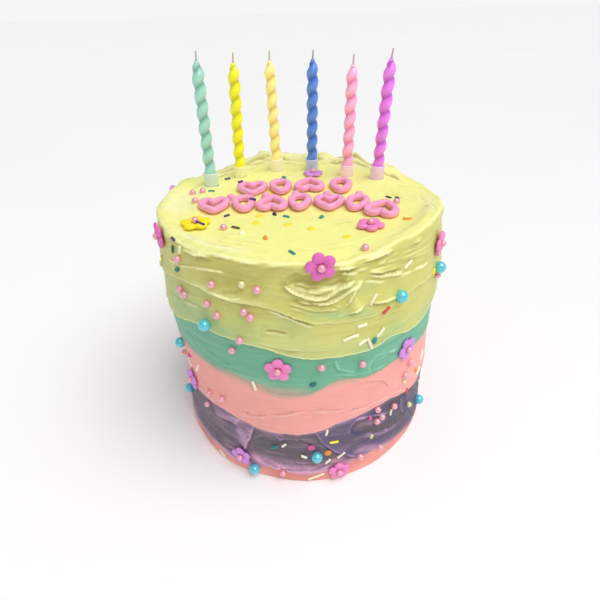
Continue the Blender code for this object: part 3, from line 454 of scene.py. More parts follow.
class CAKE_PG_toppings(bpy.types.PropertyGroup):
    pink_pearl: distance("Pink pearl", "Radius of a pink pearl", PINK_PEARL)
    blue_pearl: distance("Blue pearl", "Radius of a blue pearl", BLUE_PEARL)
    strand: distance("Strand", "Radius of a sugar strand", 0.75)
    oval: distance("Oval", "Radius of a sugar oval", 1.15)
    confetti: distance("Confetti", "Radius of a confetti disc", 2.2)
    pearl_pink: shade("Pink pearl", "Lustre of the pink pearls", 246, 176, 192)
    pearl_blue: shade("Blue pearl", "Lustre of the blue pearls", 104, 210, 230)
    pearl_pale: shade("Pale pearl", "Lustre of the pale pearls", 236, 228, 170)
    white: shade("White strand", "White sugar strands", 252, 248, 222)
    yellow: shade("Yellow", "Yellow sugar", 252, 238, 44)
    sea: shade("Sea green", "Sea green sugar", 40, 150, 150)
    coral: shade("Coral", "Coral sugar", 225, 85, 85)
    plum: shade("Plum", "Dark purple sugar", 85, 60, 120)
    leaf: shade("Leaf", "Dark green sugar", 50, 110, 70)
    navy: shade("Navy", "Dark blue sugar", 50, 50, 95)
    brown: shade("Brown", "Brown sugar", 110, 85, 75)
    orange: shade("Orange", "Orange sugar", 245, 150, 50)
    rose: shade("Rose", "Pink sugar", 225, 95, 160)
    lime: shade("Lime", "Pale green sugar", 215, 232, 160)
    deep: shade("Deep teal", "Dark teal sugar", 25, 120, 112)
    cream: shade("Cream", "Cream sugar", 250, 238, 190)


class CAKE_PG_candles(bpy.types.PropertyGroup):
    core: distance("Wax core", "Radius of the wax in its groove", 2.45)
    lobe: distance("Wax lobe", "Rise of the twisted lobe above the groove", 1.3)
    wick_radius: distance("Wick radius", "Radius of the wick", 0.6)
    mint: shade("Mint", "Mint wax", 158, 210, 195)
    yellow: shade("Yellow", "Yellow wax", 240, 234, 30)
    peach: shade("Peach", "Peach wax", 255, 234, 148)
    blue: shade("Blue", "Blue wax", 88, 136, 214)
    rose: shade("Rose", "Rose wax", 255, 178, 212)
    orchid: shade("Orchid", "Orchid wax", 226, 126, 230)
    holder: shade("Holder", "Milky plastic of the holders", 246, 248, 242)
    wick: shade("Wick", "Waxed cotton wick", 205, 198, 190)


class CAKE_PG_flowers(bpy.types.PropertyGroup):
    crown: distance("Petal height", "Height of a petal's dome", 1.9)
    pearl: distance("Pearl", "Radius of the pearl in the middle", 1.85)
    magenta: shade("Magenta", "Magenta flowers", 230, 114, 192)
    pink: shade("Pink", "Pink flowers", 246, 140, 200)
    lilac: shade("Lilac", "Lilac flowers", 218, 148, 230)
    lemon: shade("Lemon", "Lemon flower", 255, 234, 20)


class CAKE_PG_scrollwork(bpy.types.PropertyGroup):
    strand: distance("Strand", "Radius of the rolled paste", 2.2)
    bead: distance("Bead", "Radius of a bead", 2.6)
    colour: shade("Paste", "Pink sugar paste", 255, 170, 210)


class CAKE_PG_stage(bpy.types.PropertyGroup):
    floor: shade("Floor", "Pale floor", 252, 252, 252)
    sky: bpy.props.FloatProperty(name="Sky", description="Strength of the soft light all round",
                                 default=0.42, min=0.0)
    key: bpy.props.FloatProperty(name="Key light", description="Strength of the wide light from above right",
                                 default=1.9, min=0.0)
    fill: bpy.props.FloatProperty(name="Gloss light", description="Power of the soft box behind the camera",
                                  default=0.8, min=0.0, unit="POWER")
    focal: bpy.props.FloatProperty(name="Lens", description="Focal length on a 36 mm sensor",
                                   default=26.84, subtype="DISTANCE_CAMERA")


# Curves and noise


def around(angle, knots):
    """Smooth closed curve through (angle, value) knots, read at angles in degrees."""
    first = knots[0][0]
    places = np.array([k[0] for k in knots] + [first + 360.0])
    values = np.array([k[1] for k in knots] + [knots[0][1]], float)
    before = np.concatenate(([places[-2] - 360.0], places[:-2]))
    low = np.concatenate(([values[-2]], values[:-2]))
    slopes = (values[1:] - low) / (places[1:] - before)
    slopes = np.append(slopes, slopes[0])
    angle = (np.asarray(angle, float) - first) % 360 + first
    i = np.clip(np.searchsorted(places, angle, side="right") - 1, 0, len(knots) - 1)
    width = places[i + 1] - places[i]
    t = (angle - places[i]) / width
    return (values[i] * (2 * t ** 3 - 3 * t ** 2 + 1) + slopes[i] * width * (t ** 3 - 2 * t ** 2 + t)
            + values[i + 1] * (3 * t ** 2 - 2 * t ** 3) + slopes[i + 1] * width * (t ** 3 - t ** 2))


def along(value, knots):
    return np.interp(value, [k[0] for k in knots], [k[1] for k in knots])


def ease(t):
    t = np.clip(t, 0.0, 1.0)
    return t * t * (3 - 2 * t)


def grain(u, v, seed, wrap=256):
    """Smooth seeded noise between -1 and 1 with cells of size 1, repeating in u after wrap cells."""
    table = np.random.default_rng(seed).uniform(-1, 1, (512, 256))
    i, j = np.floor(u).astype(int), np.floor(v).astype(int)
    a, b = ease(u - i), ease(v - j)
    i0, i1, j0, j1 = i % wrap, (i + 1) % wrap, j % 256, (j + 1) % 256
    low = table[i0, j0] * (1 - a) + table[i1, j0] * a
    high = table[i0, j1] * (1 - a) + table[i1, j1] * a
    return low * (1 - b) + high * b


def grain_round(angle, height, across, up, seed):
    """Noise on the side, its cells so many degrees across and millimetres up."""
    cells = max(3, round(360 / across))
    return grain((angle % 360) * cells / 360, height / up + 50, seed, cells)


def knife_wave(angle, height):
    """The slow unevenness that the icing knife leaves on the side."""
    turn = np.radians(angle)
    return (0.45 * np.sin(3 * turn + 1.1 + height / 60) + 0.3 * np.sin(7 * turn + height / 23)
            + 0.2 * np.sin(11 * turn - height / 15 + 2.0))


def side_radius(angle, height, laps=len(LAPS)):
    """Radius of the iced side, with the lips of so many bands, counted from the foot."""
    lean = np.exp(-((height - WAIST_HEIGHT) / WAIST_REACH) ** 2)
    radius = along(height, SIDE_PROFILE) + WAIST_SLANT * lean * np.sin(np.radians(angle))
    for edge, lap in LAPS[:laps]:
        above = height - around(angle, edge)
        radius = radius + np.where(above > 0, lap * np.exp(-np.maximum(above, 0) / LAP_FADE), 0.0)
    return radius + knife_wave(angle, height)


def top_height(x, y):
    """Height of the top of the icing, with its rim drawn up all round."""
    radius = np.hypot(x, y)
    crest = around(np.degrees(np.arctan2(x, -y)), RIM_CREST) - CAKE_TOP
    rise = crest * np.exp(-((radius - RIM_RADIUS) / RIM_INNER_REACH) ** 2)
    return CAKE_TOP + rise + 0.25 * np.sin(x / 13 + y / 19) + 0.2 * np.sin(y / 11 - x / 29)


# Knife marks


def smooth_line(path, steps=6):
    """Points of a smooth line through a path."""
    points = [np.array(p, float) for p in path]
    points = [2 * points[0] - points[1]] + points + [2 * points[-1] - points[-2]]
    line = []
    for a, b, c, d in zip(points, points[1:], points[2:], points[3:]):
        for step in range(steps):
            t = step / steps
            line.append(0.5 * (2 * b + (c - a) * t + (2 * a - 5 * b + 4 * c - d) * t ** 2
                               + (3 * b - a - 3 * c + d) * t ** 3))
    line.append(points[-2])
    return np.array(line)


def fading(share):
    """Strength of a stroke along its run: it fades in and out."""
    return ease(share / 0.18) * ease((1 - share) / 0.22)


class Sheet:
    """Icing to be marked: flat coordinates in millimetres, relief over them, and paint."""

    def __init__(self, u, v, colours, closed):
        self.u, self.v, self.closed = u.ravel(), v.ravel(), closed
        self.relief = np.zeros(self.u.size)
        self.colours = colours

    def follow(self, path, reach):
        """Points near a path: which, how far to its left, how far along it, and its strength there."""
        line = smooth_line(path)
        middle = line.mean(axis=0)
        line = line - middle
        u = self.u - middle[0]
        if self.closed:
            u = (u + 180 * ARC) % (360 * ARC) - 180 * ARC
        v = self.v - middle[1]
        limit = np.abs(line).max(axis=0) + reach
        near = np.nonzero((np.abs(u) < limit[0]) & (np.abs(v) < limit[1]))[0]
        points = np.stack((u[near], v[near]), axis=1)
        best = np.full(near.size, 1e9)
        side = np.zeros(near.size)
        run = np.zeros(near.size)
        walked = 0.0
        for a, b in zip(line, line[1:]):
            step = b - a
            size = max(1e-6, float(np.hypot(*step)))
            offset = points - a
            t = np.clip(offset @ step / size ** 2, 0, 1)
            gap = np.hypot(*(offset - t[:, None] * step).T)
            closer = gap < best
            best = np.where(closer, gap, best)
            turn = step[0] * offset[:, 1] - step[1] * offset[:, 0]
            side = np.where(closer, np.sign(turn), side)
            run = np.where(closer, walked + t * size, run)
            walked += size
        return near, side * best, run, fading(run / walked)

    def tint(self, near, colour, share):
        share = np.clip(share, 0, 1)[:, None]
        self.colours[near] = self.colours[near] * (1 - share) + np.array(colour) * share

    def press(self, path, seed, half, floor, upper, lower, colour=None, strength=0.0):
        """Draw the knife along a path: a flat floor between squeezed lips."""
        near, aside, run, fade = self.follow(path, half * 1.3 + 4.0)
        wobble = grain(run / 4.0 + 20, np.sign(aside) * 3.5 + 9, seed)
        wobble = wobble + 0.5 * grain(run / 1.6 + 20, np.sign(aside) * 3.5 + 9, seed + 1)
        edge = np.abs(aside) - half * (0.3 + 0.7 * fade) * (1 + 0.14 * wobble)
        inside = ease(-edge / min(3.0, half * 0.7)) * fade
        scores = 0.08 * grain(aside / 0.9 + 90, run / 30.0 + 20, seed + 2)
        old = self.relief[near]
        lip = np.where(aside > 0, upper, lower) * np.maximum(0.6 + 0.6 * wobble, 0) * fade
        lip = lip * np.where(edge < 0, np.exp(-(edge / 0.6) ** 2), np.exp(-(edge / 1.5) ** 2))
        self.relief[near] = old + inside * (floor + scores - 0.7 * old) + lip
        if colour is not None:
            self.tint(near, colour, inside * strength)

    def shelf(self, path, seed, lap, fall, colour=None, strength=0.0, spread=2.0):
        """Icing on the left of a path lies in a thin torn step over that on its right."""
        near, aside, run, fade = self.follow(path, fall * 3.0 + 2.0)
        torn = 0.8 * grain(run / 6.5 + 20, 0 * run, seed) + 0.22 * grain(run / 2.3 + 20, 0 * run, seed + 1)
        aside = aside + min(1.0, lap) * 0.55 * torn
        over = ease((aside + 0.3) / 0.6)
        above, below = np.maximum(aside, 0), np.minimum(aside, 0)
        rise = lap * fade * np.maximum(0.15, 0.8 + 0.8 * grain(run / 6.0 + 60, 0 * run, seed + 2))
        step = over * np.exp(-above / fall) + 0.25 * np.exp(-((aside - 0.5) / 0.5) ** 2)
        step = step - 0.3 * (1 - over) * np.exp(below / 1.4)
        kept = 1 - 0.75 * over * np.exp(-above / fall) * fade
        self.relief[near] = self.relief[near] * kept + rise * step
        if colour is not None:
            self.tint(near, colour, strength * fade * over * np.exp(-above / spread))

    def roughen(self, path, seed, half, depth, long, wide):
        """Striations or torn crumbs that follow a path, so long and so wide."""
        near, aside, run, fade = self.follow(path, half * 2.2)
        rough = grain(run / long + 20, aside / wide + 60, seed)
        rough = rough + 0.5 * grain(run / long * 2.3 + 20, aside / wide * 2.1 + 60, seed + 1)
        self.relief[near] += depth * fade * np.exp(-(aside / half) ** 2) * rough

    def wash(self, path, seed, half, colour, strength):
        """A soft streak of another colour."""
        near, aside, run, fade = self.follow(path, half * 2.2)
        patchy = 0.8 + 0.4 * grain(run / 6.0 + 20, aside / 1.3 + 60, seed)
        self.tint(near, colour, strength * fade * np.exp(-(aside / half) ** 2) * patchy)

    def draw(self, marks, colours, seed, stretch=1.0):
        """Make a list of marks, each a tool, a path and that tool's sizes."""
        for number, (tool, path, *sizes) in enumerate(marks):
            line = tuple((a * stretch, b) for a, b in path)
            values = [colours[size] if isinstance(size, str) else size for size in sizes]
            getattr(self, tool)(line, seed + 5 * number, *values)


def seeded_marks(draw, low, high, count, lift, purple):
    """Knife marks round the side, mostly level, fainter at the front where the others are."""
    marks = []
    for _ in range(count):
        angle = draw.uniform(-180, 180)
        height = draw.uniform(low, high)
        reach = draw.uniform(9, 26)
        tilt = draw.uniform(-4.0, 4.0)
        bow = draw.uniform(-3.5, 3.5)
        path = [(angle - reach, height - tilt), (angle, height + bow), (angle + reach, height + tilt)]
        strength = lift * (0.4 if abs(angle) < 68 else 1.0)
        if draw.random() < 0.35:
            path.reverse()
        if draw.random() < 0.45:
            half = min(draw.uniform(2.5, 6.5), (high - low) * 0.3)
            floor = -0.5 * strength * draw.random()
            marks.append(("press", path, half, floor, 0.25 * strength, 0.3 * strength))
        elif purple:
            shade_name = draw.choice(("violet", "lavender", "lavender", "ink"))
            marks.append(("shelf", path, strength * draw.uniform(0.3, 1.0), draw.uniform(2, 6), shade_name,
                          draw.uniform(0.2, 0.6), draw.uniform(1.5, 5)))
        else:
            marks.append(("shelf", path, strength * draw.uniform(0.3, 1.0), draw.uniform(2, 7)))
    return marks


# Meshes


def make_piece(name, points, faces, material, nodes, colours=None, normals=None):
    """A smooth piece from points in millimetres, riding on the cake and standing for its nodes."""
    mesh = bpy.data.meshes.new(name)
    points = np.asarray(points, float) * MM
    mesh.from_pydata(points, [], np.asarray(faces).tolist() if isinstance(faces, np.ndarray) else faces)
    mesh.materials.append(material)
    mesh.shade_smooth()
    if colours is not None:
        layer = mesh.color_attributes.new("Tint", "FLOAT_COLOR", "POINT")
        full = np.ones((len(points), 4))
        full[:, :3] = colours
        layer.data.foreach_set("color", full.ravel())
    if normals is not None:
        mesh.normals_split_custom_set_from_vertices(normals)
    piece = bpy.data.objects.new(name, mesh)
    bpy.context.scene.collection.objects.link(piece)
    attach(piece, "root")
    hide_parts(*nodes)
    return piece


def strip_faces(rows, columns):
    """Outward faces of a grid of points, row after row, that closes on itself sideways."""
    i = np.arange(rows - 1)[:, None] * columns
    j = np.arange(columns)[None, :]
    k = (j + 1) % columns
    return np.stack((i + j, i + k, i + columns + k, i + columns + j), axis=2).reshape(-1, 4)


def grid_normals(grid):
    """Smooth outward normals of a closed grid of points, rows first."""
    across = np.roll(grid, -1, axis=1) - np.roll(grid, 1, axis=1)
    up = np.gradient(grid, axis=0)
    normal = np.cross(across, up)
    length = np.linalg.norm(normal, axis=2, keepdims=True)
    return normal / np.maximum(length, 1e-9)


def blurred(values, times):
    """A closed grid of values, softened."""
    for _ in range(times):
        sides = np.roll(values, 1, axis=1) + np.roll(values, -1, axis=1)
        up = np.vstack((values[1:], values[-1:])) + np.vstack((values[:1], values[:-1]))
        values = (2 * values + sides + up) / 6
    return values


def lathe(profile, sides, matrix=None):
    """Points and faces of a closed body turned from (radius, height) points, from bottom to top."""
    turns = 2 * math.pi * np.arange(sides) / sides
    rings = [np.stack((r * np.cos(turns), r * np.sin(turns), np.full(sides, z)), axis=1) for r, z in profile]
    return close_rings(rings, matrix)


def close_rings(rings, matrix=None):
    """Points and faces of a closed body through rings of points, with a point at each end."""
    sides = len(rings[0])
    points = np.concatenate(rings + [rings[0].mean(axis=0)[None], rings[-1].mean(axis=0)[None]])
    faces = strip_faces(len(rings), sides).tolist()
    low, high = len(points) - 2, len(points) - 1
    last = (len(rings) - 1) * sides
    for i in range(sides):
        j = (i + 1) % sides
        faces.append([low, j, i])
        faces.append([high, last + i, last + j])
    return (points if matrix is None else placed(points, matrix)), faces


def placed(points, matrix):
    """Points in millimetres moved by a matrix whose place is in millimetres."""
    full = np.array(matrix)
    return points @ full[:3, :3].T + full[:3, 3]


def joined(parts):
    """One list of points and faces from several, and how many points each has."""
    points, faces, counts, start = [], [], [], 0
    for part_points, part_faces in parts:
        points.append(part_points)
        faces += [[start + i for i in face] for face in part_faces]
        counts.append(len(part_points))
        start += len(part_points)
    return np.concatenate(points), faces, counts


def ball(radius, rings=14, sides=22):
    profile = [(radius * math.sin(math.pi * k / rings), -radius * math.cos(math.pi * k / rings))
               for k in range(1, rings)]
    points, faces = lathe(profile, sides)
    points[-2], points[-1] = (0, 0, -radius), (0, 0, radius)
    return points, faces


def rod(length, radius, seed):
    """A sugar strand along X with worn round ends and a slight bend."""
    draw = random.Random(seed)
    half = length / 2
    bend = draw.uniform(-0.25, 0.25)
    profile = [(radius * 0.45, -half), (radius * 0.86, -half + radius * 0.18),
               (radius, -half + radius * 0.55)]
    profile += [(radius * draw.uniform(0.94, 1.04), half * t) for t in (-0.5, -0.17, 0.17, 0.5)]
    profile += [(radius, half - radius * 0.55), (radius * 0.86, half - radius * 0.18), (radius * 0.45, half)]
    points, faces = lathe(profile, 14)
    turned = np.stack((points[:, 2], points[:, 0], points[:, 1]), axis=1)
    turned[:, 1] += bend * (1 - (turned[:, 0] / half) ** 2)
    return turned, faces


def oval(radius):
    points, faces = ball(radius, 10, 16)
    return points * np.array((1.7, 1.0, 1.0)), faces


def disc(radius):
    """A confetti disc with a rounded edge."""
    return lathe([(radius * 0.9, -0.45), (radius, -0.2), (radius, 0.1), (radius * 0.92, 0.27),
                  (radius * 0.7, 0.33), (radius * 0.3, 0.34)], 24)


# Places


def side_matrix(angle, height, lift, spin=0.0):
    """Frame on the side: Z points out of the cake, X runs round it to the right, Y up."""
    turn = math.radians(angle)
    out = Vector((math.sin(turn), -math.cos(turn), 0.0))
    right = Vector((math.cos(turn), math.sin(turn), 0.0))
    axes = Matrix((right, Vector((0, 0, 1)), out)).transposed().to_4x4()
    reach = float(side_radius(angle, height)) + lift
    place = Vector((out.x * reach, out.y * reach, height))
    return Matrix.Translation(place) @ axes @ Matrix.Rotation(math.radians(spin), 4, "Z")


def side_seat(angle, height, reach):
    """How far a flat back of that reach stands off the side to clear the icing round it."""
    here = float(side_radius(angle, height))
    stand = 0.0
    for step in range(24):
        turn = 2 * math.pi * step / 24
        for share in (0.5, 1.0):
            swing = math.asin(reach * share * math.cos(turn) / here)
            level = max(0.0, height + reach * share * math.sin(turn))
            there = float(side_radius(angle + math.degrees(swing), level))
            stand = max(stand, there * math.cos(swing) - here)
    return stand


def top_matrix(x, y, lift, spin=0.0):
    place = Vector((x, y, float(top_height(x, y)) + lift))
    return Matrix.Translation(place) @ Matrix.Rotation(math.radians(spin), 4, "Z")


def top_stand(x, y, reach):
    """How far a flat underside of that reach stands off the top to clear the icing round it."""
    turns = np.radians(np.arange(0, 360, 15))
    highest = float(top_height(x + reach * np.cos(turns), y + reach * np.sin(turns)).max())
    return GAP + TOP_CLEARANCE + max(0.0, highest - float(top_height(x, y)))


def candle_matrix(candle):
    """Frame of a candle: origin at the level of the icing, Z along the leaning candle."""
    _, x, y, lean, _, wax, _ = candle
    tilt = Euler((0.0, math.atan2(lean, wax), 0.0)).to_matrix().to_4x4()
    return Matrix.Translation(Vector((x, y, CAKE_TOP))) @ tilt


def spread_on_back():
    """Seeded places of the toppings on the back, well apart and clear of the flowers."""
    draw = random.Random(BACK_SEED)
    taken = [(angle, height, FLOWER_ROOM) for _, angle, height, _, _ in SIDE_FLOWERS]
    chosen = []
    while len(chosen) < BACK_COUNT:
        angle = draw.uniform(BACK_FIRST, BACK_LAST)
        height = draw.uniform(BACK_LOW, BACK_HIGH)
        kind = draw.choice(("pearl", "pearl", "blue", "rod", "rod", "rod", "oval", "confetti"))
        spin = draw.uniform(-80, 80)
        clear = True
        for other, level, room in taken:
            turn = (angle - other + 180) % 360 - 180
            if math.hypot(turn * BACK_ARC, height - level) < BACK_SPACING - TOPPING_ROOM + room:
                clear = False
        if clear:
            taken.append((angle, height, TOPPING_ROOM))
            chosen.append((kind, angle, height, spin))
    return chosen


def back_places(kind):
    return [(angle, height, spin) for found, angle, height, spin in spread_on_back() if found == kind]


# Materials


def new_material(name):
    material = bpy.data.materials.new(name)
    material.use_nodes = True
    tree = material.node_tree
    return material, tree, tree.nodes["Principled BSDF"]


def add_node(tree, kind, **inputs):
    node = tree.nodes.new(kind)
    for key, value in inputs.items():
        node.inputs[key.replace("_", " ")].default_value = value
    return node


def object_place(tree):
    return tree.nodes.new("ShaderNodeTexCoord").outputs["Object"]


def painted(tree):
    """The colour painted on the points of a piece."""
    node = tree.nodes.new("ShaderNodeVertexColor")
    node.layer_name = "Tint"
    return node.outputs["Color"]


def noise_of(tree, place, scale, detail=3.0):
    node = add_node(tree, "ShaderNodeTexNoise", Scale=scale, Detail=detail)
    tree.links.new(place, node.inputs["Vector"])
    return node.outputs["Fac"]


def spread_between(tree, value, low, high):
    """Map noise onto a range of values."""
    node = tree.nodes.new("ShaderNodeMapRange")
    node.inputs["From Min"].default_value = 0.3
    node.inputs["From Max"].default_value = 0.7
    node.inputs["To Min"].default_value = low
    node.inputs["To Max"].default_value = high
    tree.links.new(value, node.inputs["Value"])
    return node.outputs["Result"]


def toned(tree, colour, value, low, high):
    """A colour made a little lighter and darker by noise."""
    node = tree.nodes.new("ShaderNodeHueSaturation")
    tree.links.new(spread_between(tree, value, low, high), node.inputs["Value"])
    if isinstance(colour, tuple):
        node.inputs["Color"].default_value = (*colour, 1.0)
    else:
        tree.links.new(colour, node.inputs["Color"])
    return node.outputs["Color"]


def add_bump(tree, shader, value, strength, depth):
    node = add_node(tree, "ShaderNodeBump", Strength=strength, Distance=depth)
    tree.links.new(value, node.inputs["Height"])
    tree.links.new(node.outputs["Normal"], shader.inputs["Normal"])


def soften(shader, weight, radius, scale):
    """Let light sink into the surface."""
    shader.inputs["Subsurface Weight"].default_value = weight
    shader.inputs["Subsurface Radius"].default_value = radius
    shader.inputs["Subsurface Scale"].default_value = scale


def painted_glow(shader, colour, strength):
    """Painted glow: emission standing in for light that passes through the material."""
    shader.inputs["Emission Color"].default_value = (*colour, 1.0)
    shader.inputs["Emission Strength"].default_value = strength


def buttercream(name):
    """Soft fatty icing: painted colour, faint mottling, fine pores and a satin sheen."""
    material, tree, shader = new_material(name)
    place = object_place(tree)
    mottled = toned(tree, painted(tree), noise_of(tree, place, 90.0, 4.0), 0.965, 1.03)
    tree.links.new(mottled, shader.inputs["Base Color"])
    tree.links.new(spread_between(tree, noise_of(tree, place, 240.0), 0.42, 0.6), shader.inputs["Roughness"])
    shader.inputs["Specular IOR Level"].default_value = 0.42
    soften(shader, 0.25, (1.0, 0.75, 0.45), 0.0025)
    add_bump(tree, shader, noise_of(tree, place, 620.0, 6.0), 0.35, 0.00022)
    return material


def sugar_pearl(name, colour):
    """A pearl with a lustre coat over sugar."""
    material, tree, shader = new_material(name)
    place = object_place(tree)
    tree.links.new(toned(tree, colour, noise_of(tree, place, 700.0), 0.95, 1.04), shader.inputs["Base Color"])
    shader.inputs["Metallic"].default_value = 0.25
    shader.inputs["Roughness"].default_value = 0.24
    shader.inputs["Coat Weight"].default_value = 0.6
    shader.inputs["Coat Roughness"].default_value = 0.12
    add_bump(tree, shader, noise_of(tree, place, 900.0), 0.12, 0.0001)
    return material


def pressed_sugar(name, roughness):
    """Matt pressed sugar in the colour painted on the piece."""
    material, tree, shader = new_material(name)
    place = object_place(tree)
    mottled = toned(tree, painted(tree), noise_of(tree, place, 1100.0), 0.93, 1.05)
    tree.links.new(mottled, shader.inputs["Base Color"])
    shader.inputs["Roughness"].default_value = roughness
    soften(shader, 0.15, (1.0, 0.8, 0.7), 0.001)
    add_bump(tree, shader, noise_of(tree, place, 1500.0), 0.3, 0.0001)
    return material


def sugar_paste(name, colour, depth=0.0002):
    """Moulded or rolled sugar paste: soft, satin, with faint kneading marks."""
    material, tree, shader = new_material(name)
    place = object_place(tree)
    tree.links.new(toned(tree, colour, noise_of(tree, place, 260.0), 0.95, 1.04), shader.inputs["Base Color"])
    shader.inputs["Roughness"].default_value = 0.42
    soften(shader, 0.25, (1.0, 0.6, 0.8), 0.0015)
    add_bump(tree, shader, noise_of(tree, place, 420.0, 4.0), 0.25, depth)
    return material


def candle_wax(name, colour):
    """Dyed wax with a painted glow standing in for light from within, a greasy shine, and painted shade in
    its grooves.
    """
    material, tree, shader = new_material(name)
    place = object_place(tree)
    mottled = toned(tree, painted(tree), noise_of(tree, place, 180.0), 0.95, 1.05)
    tree.links.new(mottled, shader.inputs["Base Color"])
    tree.links.new(spread_between(tree, noise_of(tree, place, 500.0), 0.2, 0.32), shader.inputs["Roughness"])
    shader.inputs["Coat Weight"].default_value = 0.4
    shader.inputs["Coat Roughness"].default_value = 0.12
    soften(shader, 0.3, (1.0, 0.8, 0.7), 0.0012)
    # Painted glow: emission for light passing through the wax
    painted_glow(shader, colour, 0.09)
    add_bump(tree, shader, noise_of(tree, place, 350.0), 0.2, 0.00015)
    return material


def milky_plastic(name, colour):
    """Thin milky plastic that lets the wax show through."""
    material, tree, shader = new_material(name)
    place = object_place(tree)
    tree.links.new(toned(tree, colour, noise_of(tree, place, 300.0), 0.97, 1.02), shader.inputs["Base Color"])
    tree.links.new(spread_between(tree, noise_of(tree, place, 800.0), 0.2, 0.32), shader.inputs["Roughness"])
    tree.links.new(spread_between(tree, noise_of(tree, place, 200.0), 0.8, 0.88), shader.inputs["Alpha"])
    # Painted glow: emission for light passing through the plastic
    painted_glow(shader, colour, 0.14)
    return material


def wick_cotton(name, colour):
    """Waxed cotton with a fine braid."""
    material, tree, shader = new_material(name)
    place = object_place(tree)
    wave = add_node(tree, "ShaderNodeTexWave", Scale=900.0, Distortion=2.0)
    wave.bands_direction = "DIAGONAL"
    tree.links.new(place, wave.inputs["Vector"])
    tree.links.new(toned(tree, colour, wave.outputs["Fac"], 0.8, 1.05), shader.inputs["Base Color"])
    shader.inputs["Roughness"].default_value = 0.7
    add_bump(tree, shader, wave.outputs["Fac"], 0.6, 0.0002)
    return material


# Icing


def band_edges(angle):
    """Heights of the lower edges of the six bands round the cake, slightly ragged."""
    edges = [np.zeros_like(angle)]
    for number, (edge, _) in enumerate(LAPS):
        rough = 0.35 * grain_round(angle, 0 * angle, 4.0, 1.0, 40 + number)
        rough = rough + 0.2 * grain_round(angle, 0 * angle, 1.3, 1.0, 60 + number)
        edges.append(around(angle, edge) + rough)
    return edges


def smeared_left(angle):
    """Share of the left of the front, where neighbouring bands are smeared together."""
    return ease((8 - angle) / 16) * ease((angle + 80) / 12)


def band_rows(low, high, row):
    """Shares of the height of a band at which its rows lie, close together at its lip."""
    middle = float(np.mean(high - low))
    count = max(6, round(middle / row))
    even = np.arange(1, count + 1) / count
    lip = np.array((0.0, 0.12, 0.3, 0.6)) * row * 1.2 / middle
    return np.concatenate((lip, np.maximum(even, lip[-1] + 0.2 * even)))


def band_paint(band, angle, height, edges, colours):
    """Colour of the icing before the knife marks, for each point of a band."""
    streak = 0.6 * grain_round(angle, height, 14, 1.3, 80 + band)
    streak = streak + 0.4 * grain_round(angle, height, 5, 0.6, 90 + band)
    cloud = grain_round(angle, height, 11, 9.0, 100 + band)
    from_low = height - edges[band]
    to_high = (edges[band + 1] if band < TOP_BAND else RIM_LEVEL) - height

    def mix(base, other, share):
        share = np.clip(share, 0, 1)[..., None]
        return base * (1 - share) + np.array(colours[other]) * share

    name, icing, _, _ = BANDS[band]
    base = np.ones(angle.shape + (3,)) * np.array(colours[icing])
    left = smeared_left(angle)
    if name == "foot_strip":
        base = mix(base, "pink", 0.5 + 0.5 * cloud)
        base = mix(base, "lavender", ease(1.2 - to_high / 2.2) * (0.5 + 0.4 * cloud))
    if name == "lilac_band":
        base = mix(base, "lavender", np.clip(streak * 0.4, 0, 0.5))
        bluer = 0.35 * ease((angle - 12) / 14) * ease((80 - angle) / 20)
        base = mix(base, "violet", np.clip(cloud * 0.6 - 0.1 + bluer, 0, 0.6))
        base = mix(base, "lavender", ease(1 - to_high / 3.5) * 0.75)
        base = mix(base, "lavender", ease(1 - from_low / 5.0) * (0.85 + 0.3 * streak))
        base = mix(base, "peach", ease(1 - from_low / 3.0) * np.clip(0.25 + 0.4 * cloud, 0, 0.5))
        base = base * (1 - 0.36 * ease((angle - 8) / 22) * ease((90 - angle) / 20))[..., None]
    if name == "pink_band":
        base = mix(base, "pink_pale", np.clip(streak * 0.3, 0, 0.3))
        base = mix(base, "teal", ease(1 - to_high / 4.0) * (0.05 + 0.42 * left))
        base = mix(base, "lavender", ease(1 - from_low / 2.2) * np.clip(0.2 + 0.3 * cloud, 0, 0.4))
        # Paler lower lip: painted highlight
        base = mix(base, "pink_pale", ease(1 - from_low / 1.2) * 0.5)
    if name == "teal_band":
        base = mix(base, "teal_pale", np.clip(streak * 0.3 + cloud * 0.15, 0, 0.35))
        base = mix(base, "pink", ease(1 - from_low / 4.0) * (0.05 + 0.45 * left))
        base = mix(base, "dusk", ease(1 - from_low / 4.0) * 0.25 * left)
        base = mix(base, "lemon_green", ease(1 - to_high / 2.5) * 0.25)
    if name == "lemon_band_lower":
        base = mix(base, "lemon_green", ease(1 - from_low / 16.0) * (0.45 + 0.35 * cloud))
        base = mix(base, "lemon_green", left * (0.3 + 0.35 * cloud))
        # Paler lower lip: painted highlight
        base = mix(base, "lemon_highlight", ease(1 - from_low / 1.6) * 0.8)
    if name == "lemon_band_upper":
        base = mix(base, "lemon_green", np.clip(cloud * 0.5 - 0.12, 0, 0.35) * ease(to_high / 12))
        # Paler lower lip: painted highlight
        base = mix(base, "lemon_highlight", ease(1 - from_low / 1.3) * 0.6)
    return base


def marked_sheet(band, angle, height, paint, colours, depth):
    """Relief and paint of one band, with its seeded knife marks and the named ones."""
    sheet = Sheet(angle * ARC, height, paint.reshape(-1, 3), True)
    low, high = float(height.min()), float(height.max())
    name, _, _, lift = BANDS[band]
    count = max(6, round((high - low) * 0.6))
    marks = seeded_marks(random.Random(300 + band), low, high, count, lift, name == "lilac_band")
    sheet.draw(marks, colours, 1000 * band, ARC)
    sheet.draw(SIDE_MARKS.get(band, ()), colours, 1000 * band + 500, ARC)
    relief = sheet.relief.reshape(angle.shape)
    relief = relief + 0.1 * grain_round(angle, height, 6.0, 2.0, 120 + band)
    relief = relief + 0.05 * grain_round(angle, height, 9.0, 0.9, 125 + band)
    return relief * depth, sheet.colours.reshape(paint.shape)


